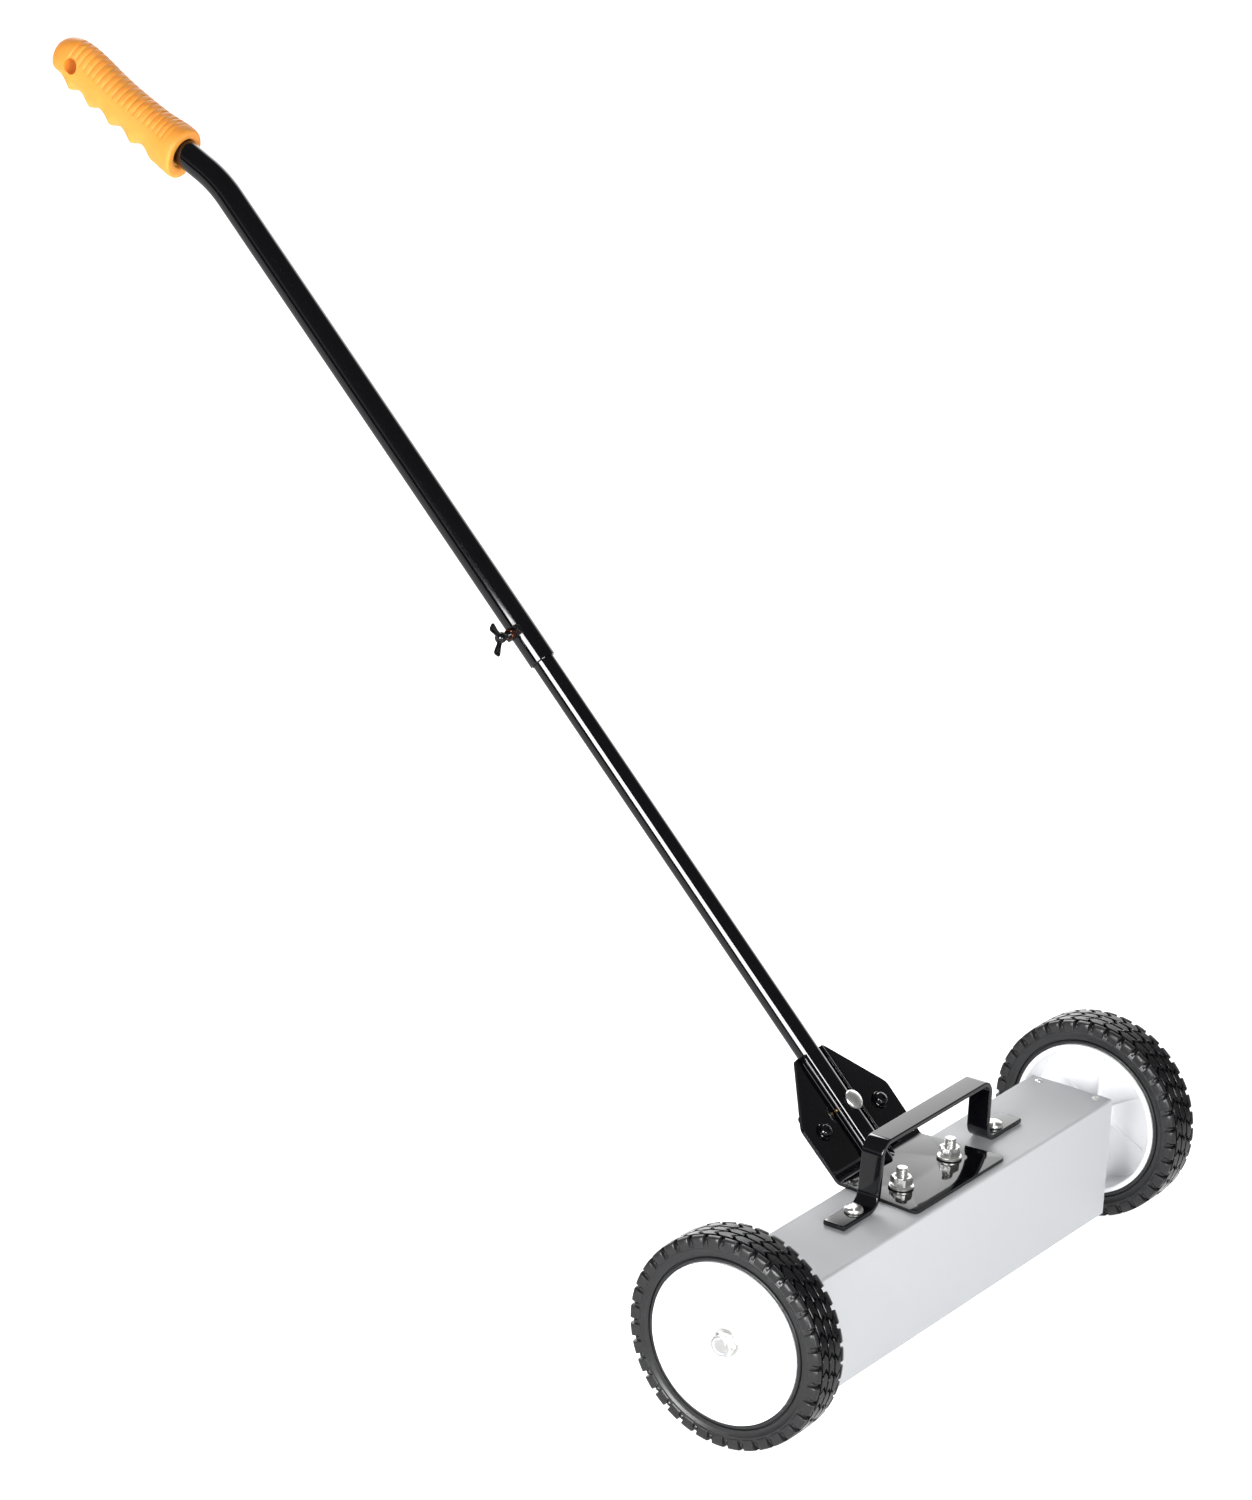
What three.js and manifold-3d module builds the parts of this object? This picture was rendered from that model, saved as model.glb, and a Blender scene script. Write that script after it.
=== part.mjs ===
// Magnetic nail sweeper: a magnet housing slung on a through axle between two wheels, pushed with a
// telescoping tube handle and lifted with a strap. Millimetres, +Z up, +X along the axle, handle to +Y.
// The origin is the middle of the bottom of the whole object's box, on the floor.
import * as THREE from "three";
import { mergeVertices } from "three/addons/utils/BufferGeometryUtils.js";
import Module from "manifold-3d";

const wasm = await Module();
wasm.setup();

// ---------- driving dimensions ----------
const GAP = 0.3; // clearance between pieces that touch

const WHEEL_RADIUS = 89; // 7 inch wheel; the axle is this high above the floor
const WHEEL_WIDTH = 38;
const WHEEL_CENTRE_X = 277.5;
const RIM_RADIUS = 67.2;
const AXLE_RADIUS = 6;
const AXLE_HALF_LENGTH = 299.5;

const HOUSING_HALF_LENGTH = 236;
const HOUSING_FRONT = -39;
const HOUSING_BACK = 41;
const HOUSING_TOP = 38; // heights and depths are measured from the axle
const HOUSING_BOTTOM = -68.5;
const SHELL_SHEET = 1.5;
const RIVET_X = 227.5;
const RIVET_Y = [-27, 29];

const MAGNET_COUNT = 6;
const MAGNET_HEIGHT = 18;
const COVER_SHEET = 1.5;
const BACKING_SHEET = 3;

const PLATE_SHEET = 3;
const PLATE_FRONT = -32.5;
const PLATE_FRONT_HALF = 70;
const FLANGE_HALF = 64;
const FLANGE_SHOULDER = 54.5; // distance up the flange where its sides start to slope in
const FLANGE_TOP = 107;
const FLANGE_TOP_HALF = 21;
const STUD_X = 37.4;
const STUD_Y = 2.4;
const STUD_RADIUS = 4.9;
const STUD_TOP = 59;

const STRAP_CENTRE = [4, 5.5];
const STRAP_HALF_LENGTH = 137.8;
const STRAP_RISER = 83;
const STRAP_TOP = 97;
const STRAP_SHEET = 4.5;
const STRAP_WIDTH = 20;
const STRAP_SCREW = 108.5;

const HANDLE_ANGLE = THREE.MathUtils.degToRad(44.1); // above the horizontal
const HANDLE_FOOT = [45, 38.15]; // y and z where the tube's axis meets the housing's top plane
const TUBE_WALL = 1.5;
const LOWER_TUBE_RADIUS = 10;
const LOWER_TUBE_TOP = 596;
const UPPER_TUBE_RADIUS = 12;
const UPPER_TUBE_START = 503;
const BEND_START = 985;
const BEND_RADIUS = 105;
const BEND_ANGLE = THREE.MathUtils.degToRad(18.9);
const GRIP_FROM_BEND = 21.7; // straight tube between the bend and the grip's mouth
const GRIP_LENGTH = 161;
const GRIP_BORE_DEPTH = 118;
const GRIP_MOUTH_RADIUS = 16.5; // the bore is wider at the grip's mouth
const GRIP_MOUTH_DEPTH = 12;
const HANGING_HOLE = [-2.5, 132, 6.8]; // off the grip's axis, from its mouth, radius
const WING_SCREW_AT = 535.5; // along the tube from its foot
const CHANNEL_INNER = 12;
const CHANNEL_SHEET = 2.5;
const CHANNEL_LIP = 6.3; // how far the channel's lips stand in front of the tube's axis
const CHANNEL_BOLT_AT = 54;
const LOCATING_SCREW_RADIUS = 1.7;
const LOCATING_SCREW_Y = -3.6;
const FOOT_CUT_HEIGHT = 42.4; // tube and channel are cut level, just above the base plate

const X = new THREE.Vector3(1, 0, 0);
const Y = new THREE.Vector3(0, 1, 0);
const Z = new THREE.Vector3(0, 0, 1);

// ---------- materials ----------
const material = (color, roughness, metalness) =>
  new THREE.MeshStandardMaterial({ color, roughness, metalness });
const silverPaint = () => material(0xbfc3c6, 0.5, 0.4);
const blackGloss = () => material(0x101012, 0.2, 0.3);
const zinc = () => material(0xc9ccce, 0.3, 1);
const brass = () => material(0xb08a50, 0.35, 1);
const copper = () => material(0x9c6048, 0.4, 1);
const steel = () => material(0x8d9093, 0.45, 1);
const ferrite = () => material(0x2a2b2d, 0.8, 0.1);
const blackRubber = () => material(0x202123, 0.8, 0);
const whitePlastic = () => material(0xf1f2f4, 0.5, 0);
const gripPlastic = () => material(0xffab3d, 0.5, 0);

// ---------- solids ----------
function toSolid(geometry) {
  const bare = geometry.clone();
  bare.deleteAttribute("normal");
  bare.deleteAttribute("uv");
  const merged = mergeVertices(bare, 1e-4);
  return new wasm.Manifold(
    new wasm.Mesh({
      numProp: 3,
      vertProperties: merged.attributes.position.array,
      triVerts: new Uint32Array(merged.index.array),
    }),
  );
}

function toGeometry(solid) {
  const mesh = solid.getMesh();
  return new THREE.BufferGeometry()
    .setAttribute("position", new THREE.BufferAttribute(mesh.vertProperties, 3))
    .setIndex(new THREE.BufferAttribute(mesh.triVerts, 1));
}

const cut = (from, ...tools) =>
  toGeometry(tools.reduce((left, tool) => left.subtract(toSolid(tool)), toSolid(from)));
const join = (first, ...others) =>
  toGeometry(others.reduce((sum, other) => sum.add(toSolid(other)), toSolid(first)));
const common = (first, second) => toGeometry(toSolid(first).intersect(toSolid(second)));

function box(low, high) {
  const size = high.map((value, i) => value - low[i]);
  const middle = high.map((value, i) => (value + low[i]) / 2);
  return new THREE.BoxGeometry(...size).translate(...middle);
}

// A cylinder from one value to another along an axis, through the point that `at` gives.
function rod(axis, radius, from, to, at = [0, 0, 0], sides = 24) {
  const turn = new THREE.Quaternion().setFromUnitVectors(Y, axis);
  const middle = axis.clone().multiplyScalar((from + to) / 2);
  return new THREE.CylinderGeometry(radius, radius, to - from, sides)
    .applyQuaternion(turn)
    .translate(...middle.add(new THREE.Vector3(...at)).toArray());
}

// A flat outline, with round holes of [x, y, radius], pushed along its own +Z.
function extrude(outline, depth, holes = [], sides = 24) {
  const shape = new THREE.Shape(outline.map(([x, y]) => new THREE.Vector2(x, y)));
  for (const [x, y, radius] of holes) {
    shape.holes.push(new THREE.Path().absarc(x, y, radius, 0, 2 * Math.PI, true));
  }
  return new THREE.ExtrudeGeometry(shape, {
    depth,
    bevelEnabled: false,
    curveSegments: sides / 2,
  });
}

function circle(radius, sides) {
  return Array.from({ length: sides }, (_, i) => {
    const angle = (2 * Math.PI * i) / sides;
    return [radius * Math.cos(angle), radius * Math.sin(angle)];
  });
}

const hexagon = (acrossFlats) => circle(acrossFlats / Math.sqrt(3), 6);
const ring = (outer, inner, depth, sides = 24) =>
  extrude(circle(outer, sides), depth, [[0, 0, inner]], sides);
const nut = (acrossFlats, hole, depth) => extrude(hexagon(acrossFlats), depth, [[0, 0, hole]], 16);

// A solid of revolution about X from a closed outline of [radius, x]; up the outside, back down inside.
function revolve(outline, sides) {
  const points = [...outline, outline[0]].map(([r, x]) => new THREE.Vector2(r, x));
  return new THREE.LatheGeometry(points, sides).rotateZ(-Math.PI / 2);
}

// The outline of a bent strip: a centreline with rounded corners, offset to both sides.
function strip(corners, thickness, radius, steps = 4) {
  const points = corners.map(([x, y]) => new THREE.Vector2(x, y));
  const line = [];
  points.forEach((point, i) => {
    if (i === 0 || i === points.length - 1) {
      const along = i === 0 ? points[1].clone().sub(point) : point.clone().sub(points[i - 1]);
      line.push([point, along.normalize()]);
      return;
    }
    const before = point.clone().sub(points[i - 1]).normalize();
    const after = points[i + 1].clone().sub(point).normalize();
    const turn = Math.atan2(before.cross(after), before.dot(after));
    const setback = radius * Math.tan(Math.abs(turn) / 2);
    const start = point.clone().addScaledVector(before, -setback);
    const side = Math.sign(turn);
    const centre = start.clone().add(new THREE.Vector2(-before.y, before.x).multiplyScalar(side * radius));
    for (let k = 0; k <= steps; k += 1) {
      const angle = (turn * k) / steps;
      line.push([
        start.clone().rotateAround(centre, angle),
        before.clone().rotateAround(new THREE.Vector2(), angle),
      ]);
    }
  });
  const offset = (half) =>
    line.map(([point, along]) => [point.x - along.y * half, point.y + along.x * half]);
  return [...offset(-thickness / 2), ...offset(thickness / 2).reverse()];
}

// Turns an extrusion so that its outline lies in the Y-Z plane and it runs along X, and the like.
const alongX = (geometry) => geometry.applyMatrix4(new THREE.Matrix4().makeBasis(Y, Z, X));
const alongY = (geometry) =>
  geometry.applyMatrix4(new THREE.Matrix4().makeBasis(X, Z, Y.clone().negate()));

function addMesh(parent, name, geometry, look, position = [0, 0, 0]) {
  const mesh = new THREE.Mesh(geometry, look);
  mesh.name = name;
  mesh.position.set(...position);
  parent.add(mesh);
  return mesh;
}

// ---------- housing ----------
function housingShell() {
  const half = SHELL_SHEET / 2;
  const outline = strip(
    [
      [HOUSING_FRONT + half, HOUSING_BOTTOM],
      [HOUSING_FRONT + half, HOUSING_TOP - half],
      [HOUSING_BACK - half, HOUSING_TOP - half],
      [HOUSING_BACK - half, HOUSING_BOTTOM],
    ],
    SHELL_SHEET,
    2.5,
  );
  const shell = alongX(extrude(outline, 2 * HOUSING_HALF_LENGTH)).translate(-HOUSING_HALF_LENGTH, 0, 0);
  const holes = [];
  const drill = (x, y, radius) =>
    holes.push(rod(Z, radius, HOUSING_TOP - 5, HOUSING_TOP + 5, [x, y, 0], 16));
  for (const side of [-1, 1]) {
    drill(side * STUD_X, STUD_Y, STUD_RADIUS + GAP);
    drill(STRAP_CENTRE[0] + side * STRAP_SCREW, STRAP_CENTRE[1], 4 + GAP);
    for (const y of RIVET_Y) drill(side * RIVET_X, y, 1.9);
  }
  return cut(shell, ...holes);
}

// A pan-shaped plate that closes one end: an upright web with a flange folded in at top and bottom.
function endPlate() {
  const sheet = 2;
  const face = HOUSING_HALF_LENGTH - GAP - sheet / 2;
  const top = HOUSING_TOP - SHELL_SHEET - GAP - sheet / 2;
  const bottom = HOUSING_BOTTOM + COVER_SHEET + GAP + sheet / 2;
  const flangeTip = 219.5;
  const bendClearance = 1; // keeps the plate's corners out of the shell's rounded folds
  const low = HOUSING_FRONT + SHELL_SHEET + bendClearance;
  const high = HOUSING_BACK - SHELL_SHEET - bendClearance;
  const outline = strip(
    [
      [flangeTip, bottom],
      [face, bottom],
      [face, top],
      [flangeTip, top],
    ],
    sheet,
    2.5,
  );
  const plate = alongY(extrude(outline, high - low)).translate(0, high, 0);
  const middleY = (HOUSING_FRONT + HOUSING_BACK) / 2;
  return cut(
    plate,
    rod(X, AXLE_RADIUS + GAP, 220, 240),
    ...RIVET_Y.map((y) => rod(Z, 1.9, top - 4, top + 4, [RIVET_X, y, 0], 16)),
    rod(Z, 1.9, bottom - 4, bottom + 4, [RIVET_X, middleY, 0], 16),
  );
}

// A closed rivet: dome outside, shank through two sheets, bulb inside. Its head sits at z = 0, dome up.
function rivet(grip) {
  return revolve([...rivetShank(grip), [1.6, 0], [3.4, 0], [2.6, 1.1], [0, 1.4]], 12).rotateY(
    -Math.PI / 2,
  );
}

// The same with a countersunk head, flush with the sheet: its flat top sits at z = 0.
function flushRivet(grip) {
  return revolve([...rivetShank(grip), [1.6, -1.1], [2.8, 0], [0, 0]], 12).rotateY(-Math.PI / 2);
}

const rivetShank = (grip) => [
  [0, -grip - 2.5],
  [2.4, -grip - 2],
  [2.4, -grip],
  [1.6, -grip],
];

function addHousing(parent) {
  addMesh(parent, "housing_shell", housingShell(), silverPaint());
  const plate = endPlate();
  const grip = 2 * 2 + 3 * GAP;
  for (const [side, sign] of [
    ["left", -1],
    ["right", 1],
  ]) {
    // The end plates' holes aren't symmetric front to back, so the left one is a reflection.
    const shape = plate.clone();
    const mesh = addMesh(parent, `end_plate_${side}`, shape, silverPaint());
    if (sign < 0) mesh.scale.x = -1;
    RIVET_Y.forEach((y, i) => {
      const place = [sign * RIVET_X, y, HOUSING_TOP + GAP];
      addMesh(parent, `top_rivet_${side}_${["front", "back"][i]}`, rivet(grip), zinc(), place);
    });
    const under = [sign * RIVET_X, (HOUSING_FRONT + HOUSING_BACK) / 2, HOUSING_BOTTOM];
    const coverGrip = COVER_SHEET + 2 + 2 * GAP;
    const coverRivet = addMesh(parent, `cover_rivet_${side}`, flushRivet(coverGrip), zinc(), under);
    coverRivet.rotation.x = Math.PI;
  }
  addCoverAndMagnets(parent);
}

function addCoverAndMagnets(parent) {
  const front = HOUSING_FRONT + SHELL_SHEET + GAP;
  const back = HOUSING_BACK - SHELL_SHEET - GAP;
  const coverTop = HOUSING_BOTTOM + COVER_SHEET;
  const middleY = (HOUSING_FRONT + HOUSING_BACK) / 2;
  const coverHalf = HOUSING_HALF_LENGTH - GAP;
  const countersink = revolve([[0, -1], [3.1, -1], [3.1, 0], [1.9, 1.4], [1.9, 6], [0, 6]], 16);
  const drilled = [-1, 1].map((side) =>
    countersink
      .clone()
      .rotateY(-Math.PI / 2)
      .translate(side * RIVET_X, middleY, HOUSING_BOTTOM),
  );
  const cover = cut(box([-coverHalf, front, HOUSING_BOTTOM], [coverHalf, back, coverTop]), ...drilled);
  addMesh(parent, "bottom_cover", cover, silverPaint());

  const packHalf = 217;
  const pitch = (2 * packHalf) / MAGNET_COUNT;
  const magnetBottom = coverTop + GAP;
  const magnetTop = magnetBottom + MAGNET_HEIGHT;
  for (let i = 0; i < MAGNET_COUNT; i += 1) {
    const start = -packHalf + i * pitch;
    const block = box([start + GAP / 2, front + 4, magnetBottom], [start + pitch - GAP / 2, back - 4, magnetTop]);
    addMesh(parent, `magnet_${i + 1}`, block, ferrite());
  }
  const backing = box(
    [-packHalf, front + 3, magnetTop + GAP],
    [packHalf, back - 3, magnetTop + GAP + BACKING_SHEET],
  );
  addMesh(parent, "backing_plate", backing, steel());
}

// ---------- axle and wheels ----------
function addAxle(parent) {
  addMesh(parent, "axle_rod", rod(X, AXLE_RADIUS, -AXLE_HALF_LENGTH, AXLE_HALF_LENGTH, [0, 0, 0], 32), zinc());
  const hole = AXLE_RADIUS + GAP;
  const hubInner = WHEEL_CENTRE_X - WHEEL_WIDTH / 2 + 0.5;
  const hubOuter = WHEEL_CENTRE_X + 12.7;
  for (const [side, sign] of [
    ["left", -1],
    ["right", 1],
  ]) {
    const end = new THREE.Group();
    end.rotation.z = sign < 0 ? Math.PI : 0;
    parent.add(end);
    const sleeveStart = HOUSING_HALF_LENGTH + GAP;
    const sleeve = alongX(ring(9.5, hole, hubInner - GAP - sleeveStart)).translate(sleeveStart, 0, 0);
    addMesh(end, `axle_spacer_${side}`, sleeve, zinc());
    const washer = alongX(ring(12, hole, 2)).translate(hubOuter + GAP, 0, 0);
    addMesh(end, `axle_washer_${side}`, washer, zinc());
    const hexPart = alongX(nut(19, hole, 5.5));
    const collar = alongX(ring(8.8, hole, 2.4, 16)).translate(5.3, 0, 0);
    const lockNut = join(hexPart, collar).translate(hubOuter + 2 + 2 * GAP, 0, 0);
    addMesh(end, `axle_nut_${side}`, lockNut, zinc());
  }
}

function tyre() {
  const half = WHEEL_WIDTH / 2 - 0.3;
  const bead = RIM_RADIUS + GAP;
  return revolve(
    [
      [bead, -half + 2],
      [76, -half + 0.6],
      [84, -half],
      [87.6, -half + 1],
      [WHEEL_RADIUS, -half + 4.5],
      [WHEEL_RADIUS, half - 4.5],
      [87.6, half - 1],
      [84, half],
      [76, half - 0.6],
      [bead, half - 2],
    ],
    48,
  );
}

function hub() {
  const inner = -WHEEL_WIDTH / 2 + 0.5;
  const body = revolve(
    [
      [9, inner],
      [14, inner],
      [14, 9],
      [63.4, 10.6],
      [63.4, inner + 0.5],
      [RIM_RADIUS, inner + 0.5],
      [RIM_RADIUS, 18.2],
      [63.6, 18.2],
      [61, 13.8],
      [46, 12],
      [9, 12.7],
    ],
    32,
  );
  const ribs = Array.from({ length: 6 }, (_, i) =>
    box([-1, 12, -1], [9.5, 65, 1]).rotateX((i * Math.PI) / 3),
  );
  return join(body, ...ribs);
}

function addWheels(parent) {
  const tyreShape = tyre();
  const hubShape = hub();
  for (const [side, sign] of [
    ["left", -1],
    ["right", 1],
  ]) {
    const wheel = new THREE.Group();
    wheel.position.x = sign * WHEEL_CENTRE_X;
    wheel.rotation.z = sign < 0 ? Math.PI : 0;
    parent.add(wheel);
    addMesh(wheel, `tyre_${side}`, tyreShape.clone(), blackRubber());
    addMesh(wheel, `hub_${side}`, hubShape.clone(), whitePlastic());
    const bush = alongX(ring(9 - GAP, AXLE_RADIUS + 0.2, 30.8, 28)).translate(-18.2, 0, 0);
    addMesh(wheel, `hub_bush_${side}`, bush, whitePlastic());
  }
}

// ---------- bracket ----------
// The handle's own frame: +Z up the tube, -Y out of its front side.
function handleFrame() {
  const frame = new THREE.Group();
  frame.position.set(0, ...HANDLE_FOOT);
  frame.rotation.x = HANDLE_ANGLE - Math.PI / 2;
  return frame;
}

function inHandleFrame(geometry) {
  const frame = handleFrame();
  frame.updateMatrix();
  return geometry.applyMatrix4(frame.matrix);
}

// Base plate and flange, one sheet: a bent slab trimmed to the flat outlines of its two leaves.
function bracketPlate() {
  const bottom = HOUSING_TOP + GAP;
  const middle = bottom + PLATE_SHEET / 2;
  const along = [Math.cos(HANDLE_ANGLE), Math.sin(HANDLE_ANGLE)];
  const rise = (middle - HANDLE_FOOT[1]) / along[1];
  const corner = HANDLE_FOOT[0] + rise * along[0];
  const reach = FLANGE_TOP - rise;
  const outline = strip(
    [
      [PLATE_FRONT, middle],
      [corner, middle],
      [corner + reach * along[0], middle + reach * along[1]],
    ],
    PLATE_SHEET,
    7,
  );
  const slab = alongX(extrude(outline, 2 * PLATE_FRONT_HALF)).translate(-PLATE_FRONT_HALF, 0, 0);
  const round = 5;
  const side = (x, y) => [
    [-x, y],
    [x, y],
  ];
  const [rearLeft, rearRight] = side(FLANGE_HALF, corner + 4);
  const [frontLeft, frontRight] = side(PLATE_FRONT_HALF, PLATE_FRONT + round);
  const [tipLeft, tipRight] = side(PLATE_FRONT_HALF - round, PLATE_FRONT - 0.01);
  const diagonal = round * 0.3;
  const leaf = extrude(
    [
      rearLeft,
      frontLeft,
      [-PLATE_FRONT_HALF + diagonal, PLATE_FRONT + diagonal],
      tipLeft,
      tipRight,
      [PLATE_FRONT_HALF - diagonal, PLATE_FRONT + diagonal],
      frontRight,
      rearRight,
    ],
    30,
  ).translate(0, 0, bottom - 10);
  const flange = inHandleFrame(
    alongY(
      extrude(
        [
          [-FLANGE_HALF, 1],
          [FLANGE_HALF, 1],
          [FLANGE_HALF, FLANGE_SHOULDER],
          [FLANGE_TOP_HALF, FLANGE_TOP + 1],
          [-FLANGE_TOP_HALF, FLANGE_TOP + 1],
          [-FLANGE_HALF, FLANGE_SHOULDER],
        ],
        20,
      ),
    ).translate(0, 10, 0),
  );
  const slotHalf = CHANNEL_INNER + CHANNEL_SHEET + GAP;
  const slot = inHandleFrame(box([-slotHalf, -8, 4.2], [slotHalf, 8, 130]));
  const studHoles = [-1, 1].map((s) =>
    rod(Z, STUD_RADIUS + GAP, bottom - 5, bottom + 8, [s * STUD_X, STUD_Y, 0], 16),
  );
  const screwHoles = [-1, 1].map((s) => inHandleFrame(rod(Y, 3 + GAP, -8, 8, [s * 42, 0, 44], 16)));
  return cut(common(slab, join(leaf, flange)), slot, ...studHoles, ...screwHoles);
}

// What lies below the level cut at the foot of the tube and the channel.
const belowFootCut = () => box([-40, -60, -60], [40, 140, FOOT_CUT_HEIGHT]);

// The half-round channel with a wing on each side that bolts to the back of the flange.
function clampChannel() {
  const outer = CHANNEL_INNER + CHANNEL_SHEET;
  const bottomGap = LOWER_TUBE_RADIUS + GAP;
  const centreY = bottomGap - CHANNEL_INNER;
  const arc = (radius, steps) =>
    Array.from({ length: steps + 1 }, (_, i) => {
      const angle = (Math.PI * i) / steps;
      return [radius * Math.cos(angle), centreY + radius * Math.sin(angle)];
    });
  const outline = [
    [outer, -CHANNEL_LIP],
    ...arc(outer, 14),
    [-outer, -CHANNEL_LIP],
    [-CHANNEL_INNER, -CHANNEL_LIP],
    ...arc(CHANNEL_INNER, 14).reverse(),
    [CHANNEL_INNER, -CHANNEL_LIP],
  ];
  const trough = extrude(outline, FLANGE_TOP + 5).translate(0, 0, -5);
  const wingFront = PLATE_SHEET / 2 + GAP;
  const wings = [-1, 1].map((s) => {
    const inner = s * (CHANNEL_INNER + 1);
    const tip = s * 56;
    return box([Math.min(inner, tip), wingFront, 22], [Math.max(inner, tip), wingFront + CHANNEL_SHEET, 66]);
  });
  const boltHole = rod(Y, 4 + GAP, -20, 20, [0, 0, CHANNEL_BOLT_AT], 16);
  const brassHole = rod(
    X,
    LOCATING_SCREW_RADIUS + GAP,
    -20,
    -9,
    [0, LOCATING_SCREW_Y, CHANNEL_BOLT_AT],
    16,
  );
  const screwHoles = [-1, 1].map((s) => rod(Y, 3 + GAP, 0, 8, [s * 42, 0, 44], 16));
  const whole = inHandleFrame(cut(join(trough, ...wings), boltHole, brassHole, ...screwHoles));
  return cut(whole, belowFootCut());
}

function addBracket(parent) {
  addMesh(parent, "bracket_plate", bracketPlate(), blackGloss());
  addMesh(parent, "clamp_channel", clampChannel(), blackGloss());

  const frame = handleFrame();
  parent.add(frame);
  // Domed bolt through tube and channel: the revolved outline stands along X, then turns to face -Y.
  const bolt = revolve(
    [
      [0, -24],
      [4, -24],
      [4, 12],
      [9, 12],
      [8.4, 13.8],
      [5, 15.8],
      [0, 16.3],
    ],
    20,
  ).rotateZ(-Math.PI / 2);
  addMesh(frame, "channel_bolt", bolt, zinc(), [0, 0, CHANNEL_BOLT_AT]);
  const behindChannel = LOWER_TUBE_RADIUS + CHANNEL_SHEET + 2 * GAP;
  const boltNut = alongY(nut(13, 4 + GAP, 6.5)).translate(0, behindChannel + 6.5, CHANNEL_BOLT_AT);
  addMesh(frame, "channel_bolt_nut", boltNut, zinc());

  const brassScrew = rod(
    X,
    LOCATING_SCREW_RADIUS,
    -17.6,
    -10.2,
    [0, LOCATING_SCREW_Y, CHANNEL_BOLT_AT],
    16,
  );
  addMesh(frame, "locating_screw", brassScrew, brass());

  const frontFace = -PLATE_SHEET / 2 - GAP;
  const wingBack = PLATE_SHEET / 2 + CHANNEL_SHEET + 2 * GAP;
  for (const [side, sign] of [
    ["left", -1],
    ["right", 1],
  ]) {
    const washer = alongY(ring(7.5, 3 + GAP, 1.2)).translate(0, frontFace, 0);
    addMesh(frame, `bracket_washer_${side}`, washer, blackGloss(), [sign * 42, 0, 44]);
    const headFoot = -frontFace + 1.2 + GAP;
    const screw = revolve(
      [
        [0, -14],
        [3, -14],
        [3, headFoot],
        [6, headFoot],
        [5.6, headFoot + 2.2],
        [3.5, headFoot + 3.6],
        [0, headFoot + 4],
      ],
      16,
    ).rotateZ(-Math.PI / 2);
    addMesh(frame, `bracket_screw_${side}`, screw, blackGloss(), [sign * 42, 0, 44]);
    const screwNut = alongY(nut(10, 3 + GAP, 5)).translate(0, wingBack + 5, 0);
    addMesh(frame, `bracket_screw_nut_${side}`, screwNut, zinc(), [sign * 42, 0, 44]);
  }
}

function addPlateBolts(parent) {
  const headTop = HOUSING_TOP - SHELL_SHEET - GAP;
  const plateTop = HOUSING_TOP + GAP + PLATE_SHEET;
  for (const [side, sign] of [
    ["left", -1],
    ["right", 1],
  ]) {
    const place = [sign * STUD_X, STUD_Y, 0];
    const shank = rod(Z, STUD_RADIUS, headTop - 1, STUD_TOP);
    const bolt = join(extrude(hexagon(16), 6).translate(0, 0, headTop - 6), shank);
    addMesh(parent, `plate_bolt_${side}`, bolt, zinc(), place);
    const washer = ring(10.5, STUD_RADIUS + GAP, 1.8).translate(0, 0, plateTop + GAP);
    addMesh(parent, `plate_washer_${side}`, washer, zinc(), place);
    const hexNut = nut(16, STUD_RADIUS + GAP, 7.6).translate(0, 0, plateTop + 1.8 + 2 * GAP);
    addMesh(parent, `plate_nut_${side}`, hexNut, zinc(), place);
  }
}

// ---------- carry handle ----------
function addCarryHandle(parent) {
  const foot = HOUSING_TOP + GAP + STRAP_SHEET / 2;
  const top = STRAP_TOP - STRAP_SHEET / 2;
  const outline = strip(
    [
      [-STRAP_HALF_LENGTH, foot],
      [-STRAP_RISER, foot],
      [-STRAP_RISER, top],
      [STRAP_RISER, top],
      [STRAP_RISER, foot],
      [STRAP_HALF_LENGTH, foot],
    ],
    STRAP_SHEET,
    8,
    5,
  );
  const bar = alongY(extrude(outline, STRAP_WIDTH)).translate(0, STRAP_WIDTH / 2, 0);
  const holes = [-1, 1].map((s) => rod(Z, 4 + GAP, foot - 5, foot + 5, [s * STRAP_SCREW, 0, 0], 16));
  const place = [...STRAP_CENTRE, 0];
  addMesh(parent, "carry_handle", cut(bar, ...holes), blackGloss(), place);

  const footTop = foot + STRAP_SHEET / 2 + GAP;
  const screwNutTop = HOUSING_TOP - SHELL_SHEET - GAP;
  for (const [side, sign] of [
    ["left", -1],
    ["right", 1],
  ]) {
    const at = [place[0] + sign * STRAP_SCREW, place[1], 0];
    const screw = revolve(
      [
        [0, screwNutTop - 10],
        [4, screwNutTop - 10],
        [4, footTop],
        [8, footTop],
        [7.6, footTop + 2.6],
        [5.4, footTop + 4.2],
        [0, footTop + 4.8],
      ],
      16,
    ).rotateY(-Math.PI / 2);
    addMesh(parent, `carry_screw_${side}`, screw, zinc(), at);
    const screwNut = nut(13, 4 + GAP, 6.5).translate(0, 0, screwNutTop - 6.5);
    addMesh(parent, `carry_screw_nut_${side}`, screwNut, zinc(), at);
  }
}

// ---------- handle ----------
function lowerTube() {
  const start = -8;
  const tube = ring(LOWER_TUBE_RADIUS, LOWER_TUBE_RADIUS - TUBE_WALL, LOWER_TUBE_TOP - start, 32);
  const boltHole = rod(Y, 4 + GAP, -20, 20, [0, 0, CHANNEL_BOLT_AT], 16);
  return cut(inHandleFrame(cut(tube.translate(0, 0, start), boltHole)), belowFootCut());
}

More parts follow.
